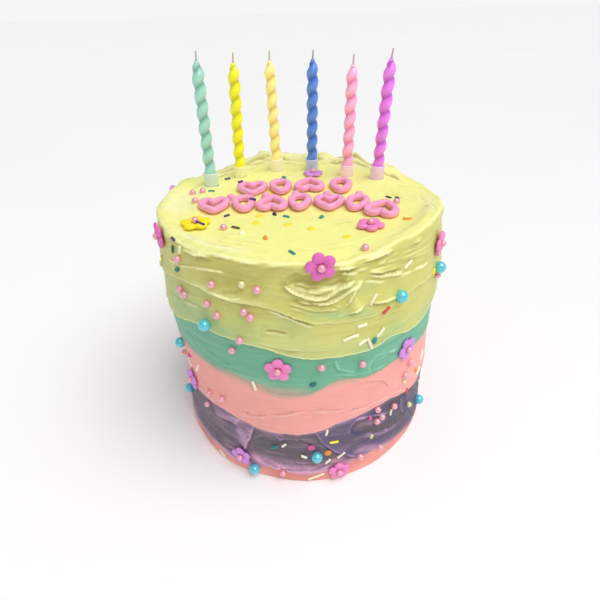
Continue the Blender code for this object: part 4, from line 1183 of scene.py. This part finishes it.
def paint_light_and_shade(relief, facing, paint, pale, shade_colour):
    """Painted highlight on lips and ledges that face up, and painted shade in creases and on undersides."""
    rise = relief - blurred(relief, 10)
    up = np.clip(np.clip(rise * 0.9, 0, 0.5) + 0.75 * ease((facing - 0.3) / 0.5), 0, 0.9)[..., None]
    down = np.clip(np.clip(-rise * 1.3, 0, 0.6) + 0.45 * ease((-facing - 0.3) / 0.5), 0, 0.8)[..., None]
    paint = paint * (1 - up) + np.array(pale) * up
    return paint * (1 - down) + np.array(shade_colour) * down


def pearl_rings(angle, height):
    """Icing squeezed up round the pearls on the side."""
    rise = np.zeros_like(angle)
    small = PINK_PEARLS + PALE_PEARLS + tuple((a, h) for a, h, _ in back_places("pearl"))
    large = BLUE_PEARLS + tuple((a, h) for a, h, _ in back_places("blue"))
    spots = [(a, h, PINK_PEARL) for a, h in small] + [(a, h, BLUE_PEARL) for a, h in large]
    for at, level, radius in spots:
        turn = (angle - at + 180) % 360 - 180
        gap = np.hypot(turn * ARC, height - level)
        rise = rise + SIDE_RING * np.exp(-((gap - radius * 0.95) / 0.6) ** 2)
    return rise


def build_icing(settings):
    """The six bands and the top of the spread icing."""
    colours = {key: tuple(getattr(settings, key)) for key in
               ("lemon", "lemon_side", "lemon_green", "lemon_highlight", "teal", "teal_pale", "pink", "pink_pale",
                "dusk", "lavender", "lilac_lip", "violet", "ink", "peach")}
    colours["crease_shadow"] = tuple(settings.lemon_shadow)
    row = settings.row / MM * 1.0
    columns = settings.columns // 1
    turn = 360.0 * np.arange(columns) / columns - 180.0
    turn = turn - FRONT_DENSITY * np.sin(np.radians(turn))
    edges = band_edges(turn)
    rough = 0.45 * grain_round(turn, 0 * turn, 7.0, 1.0, 71) + 0.3 * grain_round(turn, 0 * turn, 2.4, 1.0, 72)
    crest = around(turn, RIM_CREST) + rough * (1 + 1.2 * ease((np.abs(turn) - 100) / 40))
    sines, cosines = np.sin(np.radians(turn)), -np.cos(np.radians(turn))
    for band, (name, base, pale, _) in enumerate(BANDS):
        low = edges[band]
        high = edges[band + 1] if band < TOP_BAND else crest - RIM_DROP
        shares = band_rows(low, high, row)
        height = low[None, :] + (high - low)[None, :] * shares[:, None]
        corner = RIM_ARC * np.arange(1, rim_rows() + 1) / rim_rows() if band == TOP_BAND else np.zeros(0)
        wide = np.vstack((height, height[-1] + corner[:, None]))
        angle = np.broadcast_to(turn, wide.shape)
        wide_edges = [np.broadcast_to(edge, wide.shape) for edge in edges]
        paint = band_paint(band, angle, wide, wide_edges, colours)
        relief, paint = marked_sheet(band, angle, wide, paint, colours, settings.mark_depth)
        rim_relief, rim_paint = relief[len(height):], paint[len(height):]
        relief, paint, angle = relief[:len(height)], paint[:len(height)], angle[:len(height)]
        radius = side_radius(angle, height, max(0, band - 1))
        if band:
            vary = 0.8 + 0.45 * grain_round(angle, 0 * angle, 16.0, 1.0, 140 + band)
            if name == "teal_band":
                vary = vary * (1 - 0.85 * smeared_left(angle))
            if band == TOP_BAND:
                vary = vary * (1 + 0.5 * ease((angle + 45) / 14) * ease((60 - angle) / 12))
            radius = radius + LAPS[band - 1][1] * vary * np.exp(-(height - low) / LAP_FADE)
        relief = relief + pearl_rings(angle, height)
        radius = radius + relief
        if band:
            radius[0] = side_radius(turn, low, band - 1) - 0.5
            radius[1] -= (radius[1] - radius[0]) * 0.35
            radius[2] -= (radius[2] - radius[0]) * 0.08
        else:
            radius[0] -= FOOT_INSET
            radius[1:4] -= FOOT_INSET * np.array((0.6, 0.35, 0.12))[:, None]
        if band < TOP_BAND:
            height = np.vstack((height, height[-1:] + 0.6))
            radius = np.vstack((radius, radius[-1:] - 0.1))
            relief = np.vstack((relief, relief[-1:]))
            paint = np.concatenate((paint, paint[-1:]))
        grid = np.stack((radius * sines, radius * cosines, height), axis=2)
        if band < TOP_BAND:
            # Painted shade for creases and undersides, with the lip colour as painted highlight on faces that
            # turn up
            shade_colour = colours["crease_shadow"] if base == "lemon_side" else np.array(colours[base]) * CREASE_SHADE
            paint = paint_light_and_shade(relief, grid_normals(grid)[..., 2], paint, colours[pale], shade_colour)
            points = grid.reshape(-1, 3)
            faces = strip_faces(len(grid), columns).tolist()
            tints = paint.reshape(-1, 3)
            if band == 0:
                points = np.vstack((points, (0.0, 0.0, 0.0)))
                tints = np.vstack((tints, colours["peach"]))
                faces += [[len(points) - 1, (i + 1) % columns, i] for i in range(columns)]
            make_piece(name, points, faces, buttercream(name), ["cake"], tints)
        else:
            build_rim_and_top(settings, colours, turn, crest, (grid, relief, paint),
                              (rim_relief, rim_paint), row)


def seeded_sweeps(draw):
    """Seeded sweeps of the knife over the top, curving round it."""
    marks = []
    for _ in range(SWEEP_COUNT):
        start = draw.uniform(0, 2 * math.pi)
        sweep = draw.uniform(0.4, 1.1)
        radius = draw.uniform(12, 74)
        drift = draw.uniform(-6, 6)
        path = []
        for k in range(4):
            reach = radius + drift * k / 3
            path.append((reach * math.cos(start + sweep * k / 3), reach * math.sin(start + sweep * k / 3)))
        if draw.random() < 0.5:
            marks.append(("press", path, draw.uniform(2.5, 7.0), -0.25 * draw.random(), 0.12, 0.1))
        else:
            marks.append(("shelf", path, draw.uniform(0.15, 0.4), draw.uniform(2, 6)))
    return marks


def rim_rows():
    return 15


def rim_corner():
    """Even steps over the corner of the rim: shares of its reach inwards and of its rise."""
    turn = np.linspace(0, math.pi / 2, 400)
    inwards, rise = 1 - np.cos(turn) ** RIM_SQUARE, np.sin(turn) ** RIM_SQUARE
    walked = np.concatenate(((0.0,), np.cumsum(np.hypot(3.0 * np.diff(inwards), RIM_DROP * np.diff(rise)))))
    steps = walked[-1] * np.arange(1, rim_rows() + 1) / rim_rows()
    return np.interp(steps, walked, inwards)[:, None], np.interp(steps, walked, rise)[:, None]


def build_rim_and_top(settings, colours, turn, crest, side, rim, row):
    """The upper lemon band with its crisp rim, and the top, on one smooth grid."""
    side_grid, side_relief, side_paint = side
    columns = len(turn)
    steps = rim_rows()
    sines, cosines = np.sin(np.radians(turn)), -np.cos(np.radians(turn))
    start_radius = np.hypot(side_grid[-1, :, 0], side_grid[-1, :, 1]) - side_relief[-1]
    start_height = side_grid[-1, :, 2]
    inwards, rise = rim_corner()
    corner_radius = start_radius - (start_radius - RIM_RADIUS) * inwards
    corner_height = start_height + (crest - start_height) * rise
    rings = np.linspace(RIM_RADIUS, 0.6, max(20, round(RIM_RADIUS / (row * 1.6))))[1:, None]
    radius = np.vstack((corner_radius, np.broadcast_to(rings, (len(rings), columns))))
    x, y = radius * sines, radius * cosines
    edge_rise = crest - around(turn, RIM_CREST)
    flat = top_height(x, y) + edge_rise[None] * np.exp(-((RIM_RADIUS - radius) / 3.0) ** 2)
    height = np.vstack((corner_height, flat[steps:]))
    paint = np.ones(x.shape + (3,)) * np.array(colours["lemon"])
    sheet = Sheet(x, y, paint.reshape(-1, 3), False)
    sheet.draw(seeded_sweeps(random.Random(410)), colours, 7000)
    sheet.draw(TOP_MARKS, colours, 7500)
    relief = sheet.relief.reshape(x.shape) * settings.mark_depth
    relief += 0.1 * grain(x / 5 + 60, y / 5 + 60, 130) + 0.05 * grain(x / 1.7 + 90, y / 1.7 + 90, 131)
    for candle in CANDLES:
        gap = np.hypot(x - candle[1], y - candle[2])
        collar = COLLAR_RISE * np.exp(-((gap - COLLAR_RADIUS) / 0.9) ** 2)
        relief = np.where(gap < SOCKET_RADIUS, -HOLDER_DEPTH - SOCKET_SINK, relief + collar)
    for at_x, at_y in TOP_PINK_PEARLS:
        relief += TOP_RING * np.exp(-((np.hypot(x - at_x, y - at_y) - PINK_PEARL) / 0.7) ** 2)
    paint = sheet.colours.reshape(paint.shape)
    rim_relief, rim_paint = rim
    blend = np.ones((len(x), 1))
    blend[:steps] = ease(inwards)
    relief[:steps] = relief[:steps] * blend[:steps] + rim_relief * (1 - blend[:steps])
    paint[:steps] = paint[:steps] * blend[:steps, None] + rim_paint * (1 - blend[:steps, None])
    out = np.zeros((len(x), 1))
    out[:steps] = np.cos(math.pi / 2 * inwards ** 0.7)
    up = np.sqrt(1 - out ** 2)
    reach = radius + relief * out
    grid = np.stack((reach * sines, reach * cosines, height + relief * up), axis=2)
    full = np.concatenate((side_grid, grid))
    relief = np.vstack((side_relief, relief))
    paint = np.concatenate((side_paint, paint))
    normals = grid_normals(full)
    on_top = np.zeros((len(full), 1))
    on_top[len(side_grid):] = blend
    # Painted light and shade: faces that turn up take the lit lemon, faces that turn sideways the lemon with
    # painted shade
    lit = ease((normals[..., 2] - 0.25) / 0.5)[..., None]
    lemon = np.array(colours["lemon"])
    deeper = np.array(colours["lemon_side"])
    sideways = paint * (1 - on_top[..., None]) + deeper * on_top[..., None]
    upwards = lemon * (1 - on_top[..., None]) + paint * on_top[..., None]
    paint = sideways * (1 - lit) + upwards * lit
    # Painted highlight on lips and painted shade in creases; the part that follows facing acts only off the
    # top
    level = normals[..., 2] * (1 - on_top)
    paint = paint_light_and_shade(relief, level, paint, colours["lemon_highlight"], colours["crease_shadow"])
    cut = len(side_grid) + steps
    for name, part in (("lemon_band_upper", slice(0, cut)), ("icing_top", slice(cut - 1, len(full)))):
        points = full[part].reshape(-1, 3)
        faces = strip_faces(len(full[part]), columns).tolist()
        tints, lines = paint[part].reshape(-1, 3), normals[part].reshape(-1, 3)
        if name == "icing_top":
            last = len(points) - columns
            points = np.vstack((points, points[last:].mean(axis=0)))
            tints, lines = np.vstack((tints, tints[-1])), np.vstack((lines, (0, 0, 1)))
            faces += [[len(points) - 1, last + i, last + (i + 1) % columns] for i in range(columns)]
        make_piece(name, points, faces, buttercream(name), ["cake"], tints, lines)


# Toppings


def build_pearls(settings):
    small, large = settings.pink_pearl / MM, settings.blue_pearl / MM
    sunk = small * PEARL_STAND
    pink = [side_matrix(a, h, sunk) for a, h in PINK_PEARLS]
    pink += [top_matrix(x, y, sunk) for x, y in TOP_PINK_PEARLS]
    pink += [side_matrix(a, h, sunk) for a, h, _ in back_places("pearl")]
    pale = [side_matrix(a, h, sunk) for a, h in PALE_PEARLS]
    blue = [side_matrix(a, h, large * PEARL_STAND) for a, h in BLUE_PEARLS]
    blue += [side_matrix(a, h, large * PEARL_STAND) for a, h, _ in back_places("blue")]
    kinds = (("pink_pearls", small, pink, settings.pearl_pink),
             ("pale_pearls", small * 0.92, pale, settings.pearl_pale),
             ("blue_pearls", large, blue, settings.pearl_blue))
    for name, radius, matrices, colour in kinds:
        shape, faces = ball(radius)
        points, faces, _ = joined([(placed(shape, matrix), faces) for matrix in matrices])
        make_piece(name, points, faces, sugar_pearl(name, tuple(colour)), ["cake"])


def painted_piece(name, parts, colours, roughness):
    """One piece of many small toppings, each with its own colour."""
    points, faces, counts = joined(parts)
    tints = np.repeat(np.array(colours), counts, axis=0)
    make_piece(name, points, faces, pressed_sugar(name, roughness), ["cake"], tints)


def build_strands(settings):
    radius = settings.strand / MM
    parts, colours = [], []
    on_side = tuple((*strand, "white") for strand in WHITE_STRANDS) + COLOURED_STRANDS
    places = [(side_matrix(a, h, STRAND_LIFT, spin), size, kind) for a, h, size, spin, kind in on_side]
    places += [(top_matrix(x, y, STRAND_LIFT, spin), size, kind) for x, y, size, spin, kind in TOP_STRANDS]
    places += [(top_matrix(x, y, lift, spin), size, kind)
               for x, y, lift, size, spin, kind in PERCHED_STRANDS]
    for number, (a, h, spin) in enumerate(back_places("rod")):
        kind = "white" if number % 3 else BACK_SHADES[number % len(BACK_SHADES)]
        places.append((side_matrix(a, h, STRAND_LIFT, spin), BACK_STRAND, kind))
    for number, (matrix, size, kind) in enumerate(places):
        points, faces = rod(size, radius, 900 + number)
        parts.append((placed(points, matrix), faces))
        colours.append(tuple(getattr(settings, kind)))
    painted_piece("sugar_strands", parts, colours, 0.5)


def build_ovals(settings):
    shape, faces = oval(settings.oval / MM)
    places = [(side_matrix(a, h, OVAL_LIFT, a * 3), kind) for a, h, kind in SIDE_OVALS]
    places += [(top_matrix(x, y, OVAL_LIFT, x * 5), kind) for x, y, kind in TOP_OVALS]
    for number, (a, h, spin) in enumerate(back_places("oval")):
        places.append((side_matrix(a, h, OVAL_LIFT, spin), BACK_SHADES[(number + 2) % len(BACK_SHADES)]))
    parts = [(placed(shape, matrix), faces) for matrix, _ in places]
    painted_piece("sugar_ovals", parts, [tuple(getattr(settings, kind)) for _, kind in places], 0.35)


def build_confetti(settings):
    shape, faces = disc(settings.confetti / MM)
    places = [(side_matrix(a, h, CONFETTI_LIFT), kind) for a, h, kind in SIDE_CONFETTI]
    places += [(top_matrix(x, y, CONFETTI_LIFT), kind) for x, y, kind in TOP_CONFETTI]
    for number, (a, h, spin) in enumerate(back_places("confetti")):
        places.append((side_matrix(a, h, CONFETTI_LIFT, spin), BACK_SHADES[(number + 4) % len(BACK_SHADES)]))
    parts = [(placed(shape, matrix), faces) for matrix, _ in places]
    painted_piece("confetti", parts, [tuple(getattr(settings, kind)) for _, kind in places], 0.4)


# Candles


def build_wax(candle, settings):
    """A twisted candle: a lobed section with one groove, turned like a screw, on a plain shank."""
    name, _, _, _, holder_top, top, _ = candle
    foot = HOLDER_FLOOR - HOLDER_DEPTH + GAP
    start = holder_top + TWIST_START
    shank = HOLDER_RADIUS - HOLDER_WALL - GAP
    angles = 2 * math.pi * np.arange(WAX_SIDES) / WAX_SIDES
    core, lobe = settings.core / MM, settings.lobe / MM
    bore = settings.wick_radius / MM + GAP

    def ring(radius, height):
        return np.stack((radius * np.cos(angles), radius * np.sin(angles), 0 * angles + height), axis=1)

    rings = [ring(shank * 0.9, foot), ring(shank, foot + 0.5), ring(shank, holder_top - 0.9)]
    grooves = [np.zeros(WAX_SIDES)] * 3
    steps = round((top - start + TWIST_LEAD) / WAX_STEP)
    for step in range(steps + 1):
        height = start - TWIST_LEAD + (top - start + TWIST_LEAD) * step / steps
        turn = math.radians(360 * (height - start) / CANDLE_PITCH - 90)
        taper = min(1.0, math.sqrt(max(0.0, (top - height) / CANDLE_TIP)))
        grown = min(1.0, max(0.0, (height - start + TWIST_LEAD) / TWIST_GROWTH))
        bulge = np.sqrt(np.cos((angles - turn) / 2) ** 2 + 0.01)
        section = shank + (core + lobe * bulge - shank) * grown
        rings.append(ring(np.maximum(bore + 0.5, section * (0.35 + 0.65 * taper)), height))
        # Painted shade: how deep in the groove each point lies
        grooves.append(grown * (1 - np.minimum(bulge, 1.0)) ** 1.5)
    rings.extend(ring(bore + out, top + up) for out, up in TIP_CONE)
    rings.append(ring(bore, top - WICK_SOCKET_DEPTH))
    points, faces = close_rings(rings, candle_matrix(candle))
    deep = np.zeros((len(points), 1))
    deep[:len(grooves) * WAX_SIDES, 0] = np.concatenate(grooves)
    colour = np.array(getattr(settings, name))
    # Painted shade deepens the grooves, and the ridges are painted lighter than the wax as painted highlight
    tints = (1.18 - 0.46 * deep) * colour ** (1 + 0.5 * deep)
    wax = f"wax_{name}"
    make_piece(f"twist_{name}", points, faces, candle_wax(wax, tuple(colour)), [wax], tints)


def build_holder(candle, material):
    """A thin plastic cup with a rolled rim."""
    top = candle[4]
    inner = HOLDER_RADIUS - HOLDER_WALL
    floor = HOLDER_FLOOR - HOLDER_DEPTH
    out = HOLDER_RADIUS
    profile = [(out - 0.5, -HOLDER_DEPTH), (out, -HOLDER_DEPTH + 0.4), (out, top - 0.9),
               (out + 0.08, top - 0.6), (out + 0.05, top - 0.15), (out - 0.2, top), (inner + 0.15, top),
               (inner, top - 0.25), (inner, floor + 0.3), (inner - 0.3, floor)]
    points, faces = lathe(profile, HOLDER_SIDES, candle_matrix(candle))
    name = candle[0]
    make_piece(f"cup_{name}", points, faces, material, [f"holder_{name}"])


def build_wick(candle, settings, material):
    """A wick that leans and thins towards its tip."""
    name, top, tip = candle[0], candle[5], candle[6]
    foot = top - WICK_SOCKET_DEPTH + GAP
    thick = settings.wick_radius / MM
    angles = 2 * math.pi * np.arange(WICK_SIDES) / WICK_SIDES
    rings = []
    for step in range(WICK_STEPS + 1):
        t = step / WICK_STEPS
        height = foot + (tip - foot) * t
        thin = thick * (1 - 0.3 * t) * (0.55 if step == WICK_STEPS else 1.0)
        bend = 0.35 * t * t
        rings.append(np.stack((bend + thin * np.cos(angles + 3 * t), thin * np.sin(angles + 3 * t),
                               0 * angles + height), axis=1))
    points, faces = close_rings(rings, candle_matrix(candle))
    make_piece(f"cotton_{name}", points, faces, material, [f"wick_{name}"])


# Flowers and scrollwork


def flower_shape(settings, factor):
    """Five domed petals that meet in creases round a low middle."""
    crown = settings.crown / MM
    turns = 2 * math.pi * np.arange(FLOWER_RAYS) / FLOWER_RAYS
    petal_turn = math.radians(PETAL_TURN)
    nearest = np.round((turns - math.pi / 2) / petal_turn) * petal_turn + math.pi / 2
    swing = turns - nearest
    across = PETAL_CENTRE * np.sin(swing)
    outline = PETAL_CENTRE * np.cos(swing) + np.sqrt(np.maximum(PETAL_RADIUS ** 2 - across ** 2, 0.01))
    rings = [np.stack((outline * 0.985 * np.cos(turns), outline * 0.985 * np.sin(turns), 0 * turns), axis=1)]
    for share in np.concatenate((np.linspace(1.0, 0.9, 6), np.linspace(0.86, 0.06, 17))):
        reach = outline * share
        x, y = reach * np.cos(turns), reach * np.sin(turns)
        dome = np.zeros(FLOWER_RAYS)
        for petal in range(FLOWER_PETALS):
            middle = math.radians(90 + PETAL_TURN * petal)
            gap = np.hypot(x - PETAL_CENTRE * math.cos(middle), y - PETAL_CENTRE * math.sin(middle))
            dome = np.maximum(dome, np.maximum(1 - (gap / PETAL_RADIUS) ** 2, 0) ** 0.42)
        dome = 0.32 + 0.68 * dome
        heart = 1 - 0.45 * np.exp(-(reach / 2.3) ** 2)
        rings.append(np.stack((x, y, crown * dome * heart), axis=1))
    points, faces = close_rings(rings)
    return points * factor, faces


def build_flower(name, node, matrix, factor, settings, petals, pearl):
    points, faces = flower_shape(settings, factor)
    shape, ball_faces = ball(settings.pearl / MM)
    lift = Matrix.Translation((0, 0, 1.1 * factor + 0.9))
    all_points, all_faces, _ = joined([(placed(points, matrix), faces),
                                       (placed(shape, matrix @ lift), ball_faces)])
    piece = make_piece(name, all_points, all_faces, petals, [node])
    piece.data.materials.append(pearl)
    slots = np.zeros(len(all_faces), int)
    slots[len(faces):] = 1
    piece.data.polygons.foreach_set("material_index", slots)


def closed_line(kind, size, count):
    """Closed line of an open heart or an open drop, with even steps."""
    if kind == "heart":
        right = list(HALF_HEART)
        left = [(-x, y) for x, y in reversed(right[1:-1])]
        path = right + left
        line = smooth_line(path[-2:] + path + path[:2], 10)[20:-10] * size
    else:
        t = 2 * math.pi * np.arange(160) / 160
        line = np.stack((size * 0.5 * np.cos(t), size * 0.36 * np.sin(t) * (0.72 + 0.28 * np.cos(t))), axis=1)
    ends = np.vstack((line, line[:1]))
    walked = np.concatenate(((0.0,), np.cumsum(np.hypot(*np.diff(ends, axis=0).T))))
    places = np.linspace(0, walked[-1], count, endpoint=False)
    line = np.stack((np.interp(places, walked, ends[:, 0]), np.interp(places, walked, ends[:, 1])), axis=1)
    for _ in range(2):
        line = (np.roll(line, 1, axis=0) + 2 * line + np.roll(line, -1, axis=0)) / 4
    return line


def build_scroll(name, kind, x, y, size, spin, settings, material, seed):
    """A rolled strand along a closed line, a little uneven and pressed flat."""
    thick = settings.strand / MM
    line = closed_line(kind, size, 72)
    count = len(line)
    run = np.roll(line, -1, axis=0) - np.roll(line, 1, axis=0)
    run /= np.maximum(np.linalg.norm(run, axis=1, keepdims=True), 1e-6)
    side = np.stack((run[:, 1], -run[:, 0]), axis=1)
    steps = np.arange(count)
    uneven = 1 + 0.07 * grain(steps * 16 / count, 0 * steps + seed * 0.37, 150, 16)
    rings = 16
    angles = 2 * math.pi * np.arange(rings) / rings
    across, up = np.cos(angles), np.sin(angles)
    reach = thick * 0.95 * uneven[:, None] * np.sign(across) * np.abs(across) ** 0.75
    high = thick * STRAND_FLATTEN * uneven[:, None] * np.sign(up) * np.abs(up) ** 0.75
    flat = line[:, None, :] + side[:, None, :] * reach[:, :, None]
    grid = np.concatenate((flat, high[:, :, None]), axis=2).reshape(-1, 3)
    i, j = np.arange(count)[:, None], np.arange(rings)[None, :]
    ahead, beside = (i + 1) % count, (j + 1) % rings
    faces = np.stack((i * rings + j, ahead * rings + j, ahead * rings + beside, i * rings + beside), axis=2)
    lift = top_stand(x, y, size / 2 + thick) + SCROLL_LIFT - 0.25
    make_piece(f"roll_{name}", placed(grid, top_matrix(x, y, lift, spin)), faces.reshape(-1, 4), material,
               [f"scroll_{name}"])


def build_bead(number, x, y, settings, material):
    size = settings.bead / MM
    profile = [(size * math.cos(a) ** 0.6, BEAD_RISE * math.sin(a)) for a in np.linspace(0.02, 1.5, 12)]
    points, faces = lathe([(size * 0.9, -0.3), (size * 0.99, -0.05)] + profile, 28,
                          top_matrix(x, y, top_stand(x, y, size)))
    make_piece(f"dot_{number}", points, faces, material, [f"scroll_bead_{number}"])


# Stage


def soft_light(name, kind, place, target, size, power):
    """A light aimed at a target: a soft box of that size, or a wide sun of that angle."""
    light = bpy.data.lights.new(name, kind)
    light.energy = power
    if kind == "SUN":
        light.angle = size
    else:
        light.shape = "DISK"
        light.size = size
    item = bpy.data.objects.new(name, light)
    item.location = place
    item.rotation_euler = (Vector(target) - Vector(place)).to_track_quat("-Z", "Y").to_euler()
    bpy.context.scene.collection.objects.link(item)


# Operators


class CAKE_OT_icing(bpy.types.Operator):
    """Spread the icing: a strip at the foot, the coloured bands, the rim and the top"""
    bl_idname = "cake.icing"
    bl_label = "Spread icing"

    def execute(self, context):
        build_icing(context.scene.cake_icing)
        return {"FINISHED"}


class CAKE_OT_pearls(bpy.types.Operator):
    """Press the pink, blue and pale sugar pearls into the icing"""
    bl_idname = "cake.pearls"
    bl_label = "Press pearls"

    def execute(self, context):
        build_pearls(context.scene.cake_toppings)
        return {"FINISHED"}


class CAKE_OT_strands(bpy.types.Operator):
    """Scatter the white and coloured sugar strands"""
    bl_idname = "cake.strands"
    bl_label = "Scatter strands"

    def execute(self, context):
        build_strands(context.scene.cake_toppings)
        return {"FINISHED"}


class CAKE_OT_ovals(bpy.types.Operator):
    """Scatter the sugar ovals"""
    bl_idname = "cake.ovals"
    bl_label = "Scatter ovals"

    def execute(self, context):
        build_ovals(context.scene.cake_toppings)
        return {"FINISHED"}


class CAKE_OT_confetti(bpy.types.Operator):
    """Scatter the confetti discs"""
    bl_idname = "cake.confetti"
    bl_label = "Scatter confetti"

    def execute(self, context):
        build_confetti(context.scene.cake_toppings)
        return {"FINISHED"}


class CAKE_OT_candles(bpy.types.Operator):
    """Twist the six candles and draw their wicks"""
    bl_idname = "cake.candles"
    bl_label = "Make candles"

    def execute(self, context):
        settings = context.scene.cake_candles
        for candle in CANDLES:
            dyed = np.array(settings.wick) * 0.7 + np.array(getattr(settings, candle[0])) * 0.3
            build_wax(candle, settings)
            build_wick(candle, settings, wick_cotton(f"wick_{candle[0]}", tuple(map(float, dyed))))
        return {"FINISHED"}


class CAKE_OT_holders(bpy.types.Operator):
    """Mould the six milky candle holders"""
    bl_idname = "cake.holders"
    bl_label = "Make holders"

    def execute(self, context):
        settings = context.scene.cake_candles
        for candle in CANDLES:
            tinge = np.array(settings.holder) * 0.6 + np.array(getattr(settings, candle[0])) * 0.4
            build_holder(candle, milky_plastic(f"holder_{candle[0]}", tuple(map(float, tinge))))
        return {"FINISHED"}


class CAKE_OT_flowers(bpy.types.Operator):
    """Mould the sugar flowers on the side and the top, each with its pearl"""
    bl_idname = "cake.flowers"
    bl_label = "Mould flowers"

    def execute(self, context):
        settings = context.scene.cake_flowers
        pearl = sugar_pearl("flower_pearl", tuple(context.scene.cake_toppings.pearl_pink))
        paste = {key: sugar_paste(f"petals_{key}", tuple(getattr(settings, key)))
                 for key in ("magenta", "pink", "lilac", "lemon")}
        for number, (colour, angle, height, spin, factor) in enumerate(SIDE_FLOWERS, 1):
            stand = side_seat(angle, height, FLOWER_REACH * factor)
            matrix = side_matrix(angle, height, GAP + stand, spin)
            build_flower(f"side_flower_{number:02d}", f"flower_side_{number:02d}", matrix, factor,
                         settings, paste[colour], pearl)
        for number, (colour, x, y, spin, factor) in enumerate(TOP_FLOWERS, 1):
            matrix = top_matrix(x, y, top_stand(x, y, FLOWER_REACH * factor), spin)
            build_flower(f"top_flower_{number:02d}", f"flower_top_{number:02d}", matrix, factor,
                         settings, paste[colour], pearl)
        return {"FINISHED"}


class CAKE_OT_scrollwork(bpy.types.Operator):
    """Roll the open hearts, drops and beads on the top"""
    bl_idname = "cake.scrollwork"
    bl_label = "Roll scrollwork"

    def execute(self, context):
        settings = context.scene.cake_scrollwork
        paste = sugar_paste("fondant_pink", tuple(settings.colour), 0.00035)
        for row, scrolls in (("upper", UPPER_SCROLLS), ("lower", LOWER_SCROLLS)):
            for number, (kind, x, y, size, spin) in enumerate(scrolls, 1):
                build_scroll(f"{row}_{number}", kind, x, y, size, spin, settings, paste, SCROLL_SEED + number)
        for number, (x, y) in enumerate(BEADS, 1):
            build_bead(number, x, y, settings, paste)
        return {"FINISHED"}


class CAKE_OT_stage(bpy.types.Operator):
    """Set the pale floor, the soft lights and the camera"""
    bl_idname = "cake.stage"
    bl_label = "Set the stage"

    def execute(self, context):
        settings = context.scene.cake_stage
        scene = context.scene
        scene.view_settings.view_transform = "Standard"
        material, tree, shader = new_material("pale_floor")
        cloud = noise_of(tree, object_place(tree), 3.0)
        tree.links.new(toned(tree, tuple(settings.floor), cloud, 0.99, 1.01), shader.inputs["Base Color"])
        shader.inputs["Roughness"].default_value = 0.9
        mesh = bpy.data.meshes.new("floor")
        far = FLOOR_REACH
        mesh.from_pydata([(-far, -far, 0), (far, -far, 0), (far, far, 0), (-far, far, 0)], [], [(0, 1, 2, 3)])
        mesh.materials.append(material)
        floor = bpy.data.objects.new("floor", mesh)
        scene.collection.objects.link(floor)
        world = bpy.data.worlds.new("studio")
        world.use_nodes = True
        tree = world.node_tree
        soft = tree.nodes["Background"]
        soft.inputs["Color"].default_value = (1.0, 1.0, 1.0, 1.0)
        soft.inputs["Strength"].default_value = settings.sky
        plain = add_node(tree, "ShaderNodeBackground", Color=(1.0, 1.0, 1.0, 1.0), Strength=BACKDROP)
        choose = tree.nodes.new("ShaderNodeMixShader")
        tree.links.new(tree.nodes.new("ShaderNodeLightPath").outputs["Is Camera Ray"], choose.inputs["Fac"])
        tree.links.new(soft.outputs["Background"], choose.inputs[1])
        tree.links.new(plain.outputs["Background"], choose.inputs[2])
        tree.links.new(choose.outputs["Shader"], tree.nodes["World Output"].inputs["Surface"])
        scene.world = world
        soft_light("overhead", "SUN", SUN_PLACE, (0.0, 0.0, 0.0), math.radians(SUN_SPREAD), settings.key)
        soft_light("soft_box", "AREA", BOX_PLACE, BOX_TARGET, BOX_SIZE, settings.fill)
        lens = bpy.data.cameras.new("camera")
        lens.lens = settings.focal
        lens.sensor_width = 36.0
        camera = bpy.data.objects.new("camera", lens)
        camera.location = CAMERA_PLACE
        look = Euler((math.radians(90 - CAMERA_DIP), 0.0, 0.0)).to_matrix()
        roll = Matrix.Rotation(math.radians(CAMERA_ROLL), 3, "Z")
        camera.rotation_euler = (look @ roll).to_euler()
        scene.collection.objects.link(camera)
        scene.camera = camera
        return {"FINISHED"}


OPERATORS = (CAKE_OT_icing, CAKE_OT_pearls, CAKE_OT_strands, CAKE_OT_ovals, CAKE_OT_confetti, CAKE_OT_candles,
             CAKE_OT_holders, CAKE_OT_flowers, CAKE_OT_scrollwork, CAKE_OT_stage)
GROUPS = {"cake_icing": CAKE_PG_icing, "cake_toppings": CAKE_PG_toppings, "cake_candles": CAKE_PG_candles,
          "cake_flowers": CAKE_PG_flowers, "cake_scrollwork": CAKE_PG_scrollwork, "cake_stage": CAKE_PG_stage}


class CAKE_PT_maker(bpy.types.Panel):
    """The steps of making the cake, in order"""
    bl_label = "Celebration cake"
    bl_idname = "CAKE_PT_maker"
    bl_space_type = "VIEW_3D"
    bl_region_type = "UI"
    bl_category = "Cake"

    def draw(self, context):
        for operator in OPERATORS:
            self.layout.operator(operator.bl_idname)


def register():
    for kind in (*GROUPS.values(), *OPERATORS, CAKE_PT_maker):
        bpy.utils.register_class(kind)
    for name, kind in GROUPS.items():
        setattr(bpy.types.Scene, name, bpy.props.PointerProperty(type=kind))


def unregister():
    for name in GROUPS:
        delattr(bpy.types.Scene, name)
    for kind in reversed((*GROUPS.values(), *OPERATORS, CAKE_PT_maker)):
        bpy.utils.unregister_class(kind)


def main():
    register()
    bpy.ops.cake.icing()
    bpy.ops.cake.pearls()
    bpy.ops.cake.strands()
    bpy.ops.cake.ovals()
    bpy.ops.cake.confetti()
    bpy.ops.cake.candles()
    bpy.ops.cake.holders()
    bpy.ops.cake.flowers()
    bpy.ops.cake.scrollwork()
    bpy.ops.cake.stage()


if __name__ == "__main__":
    main()
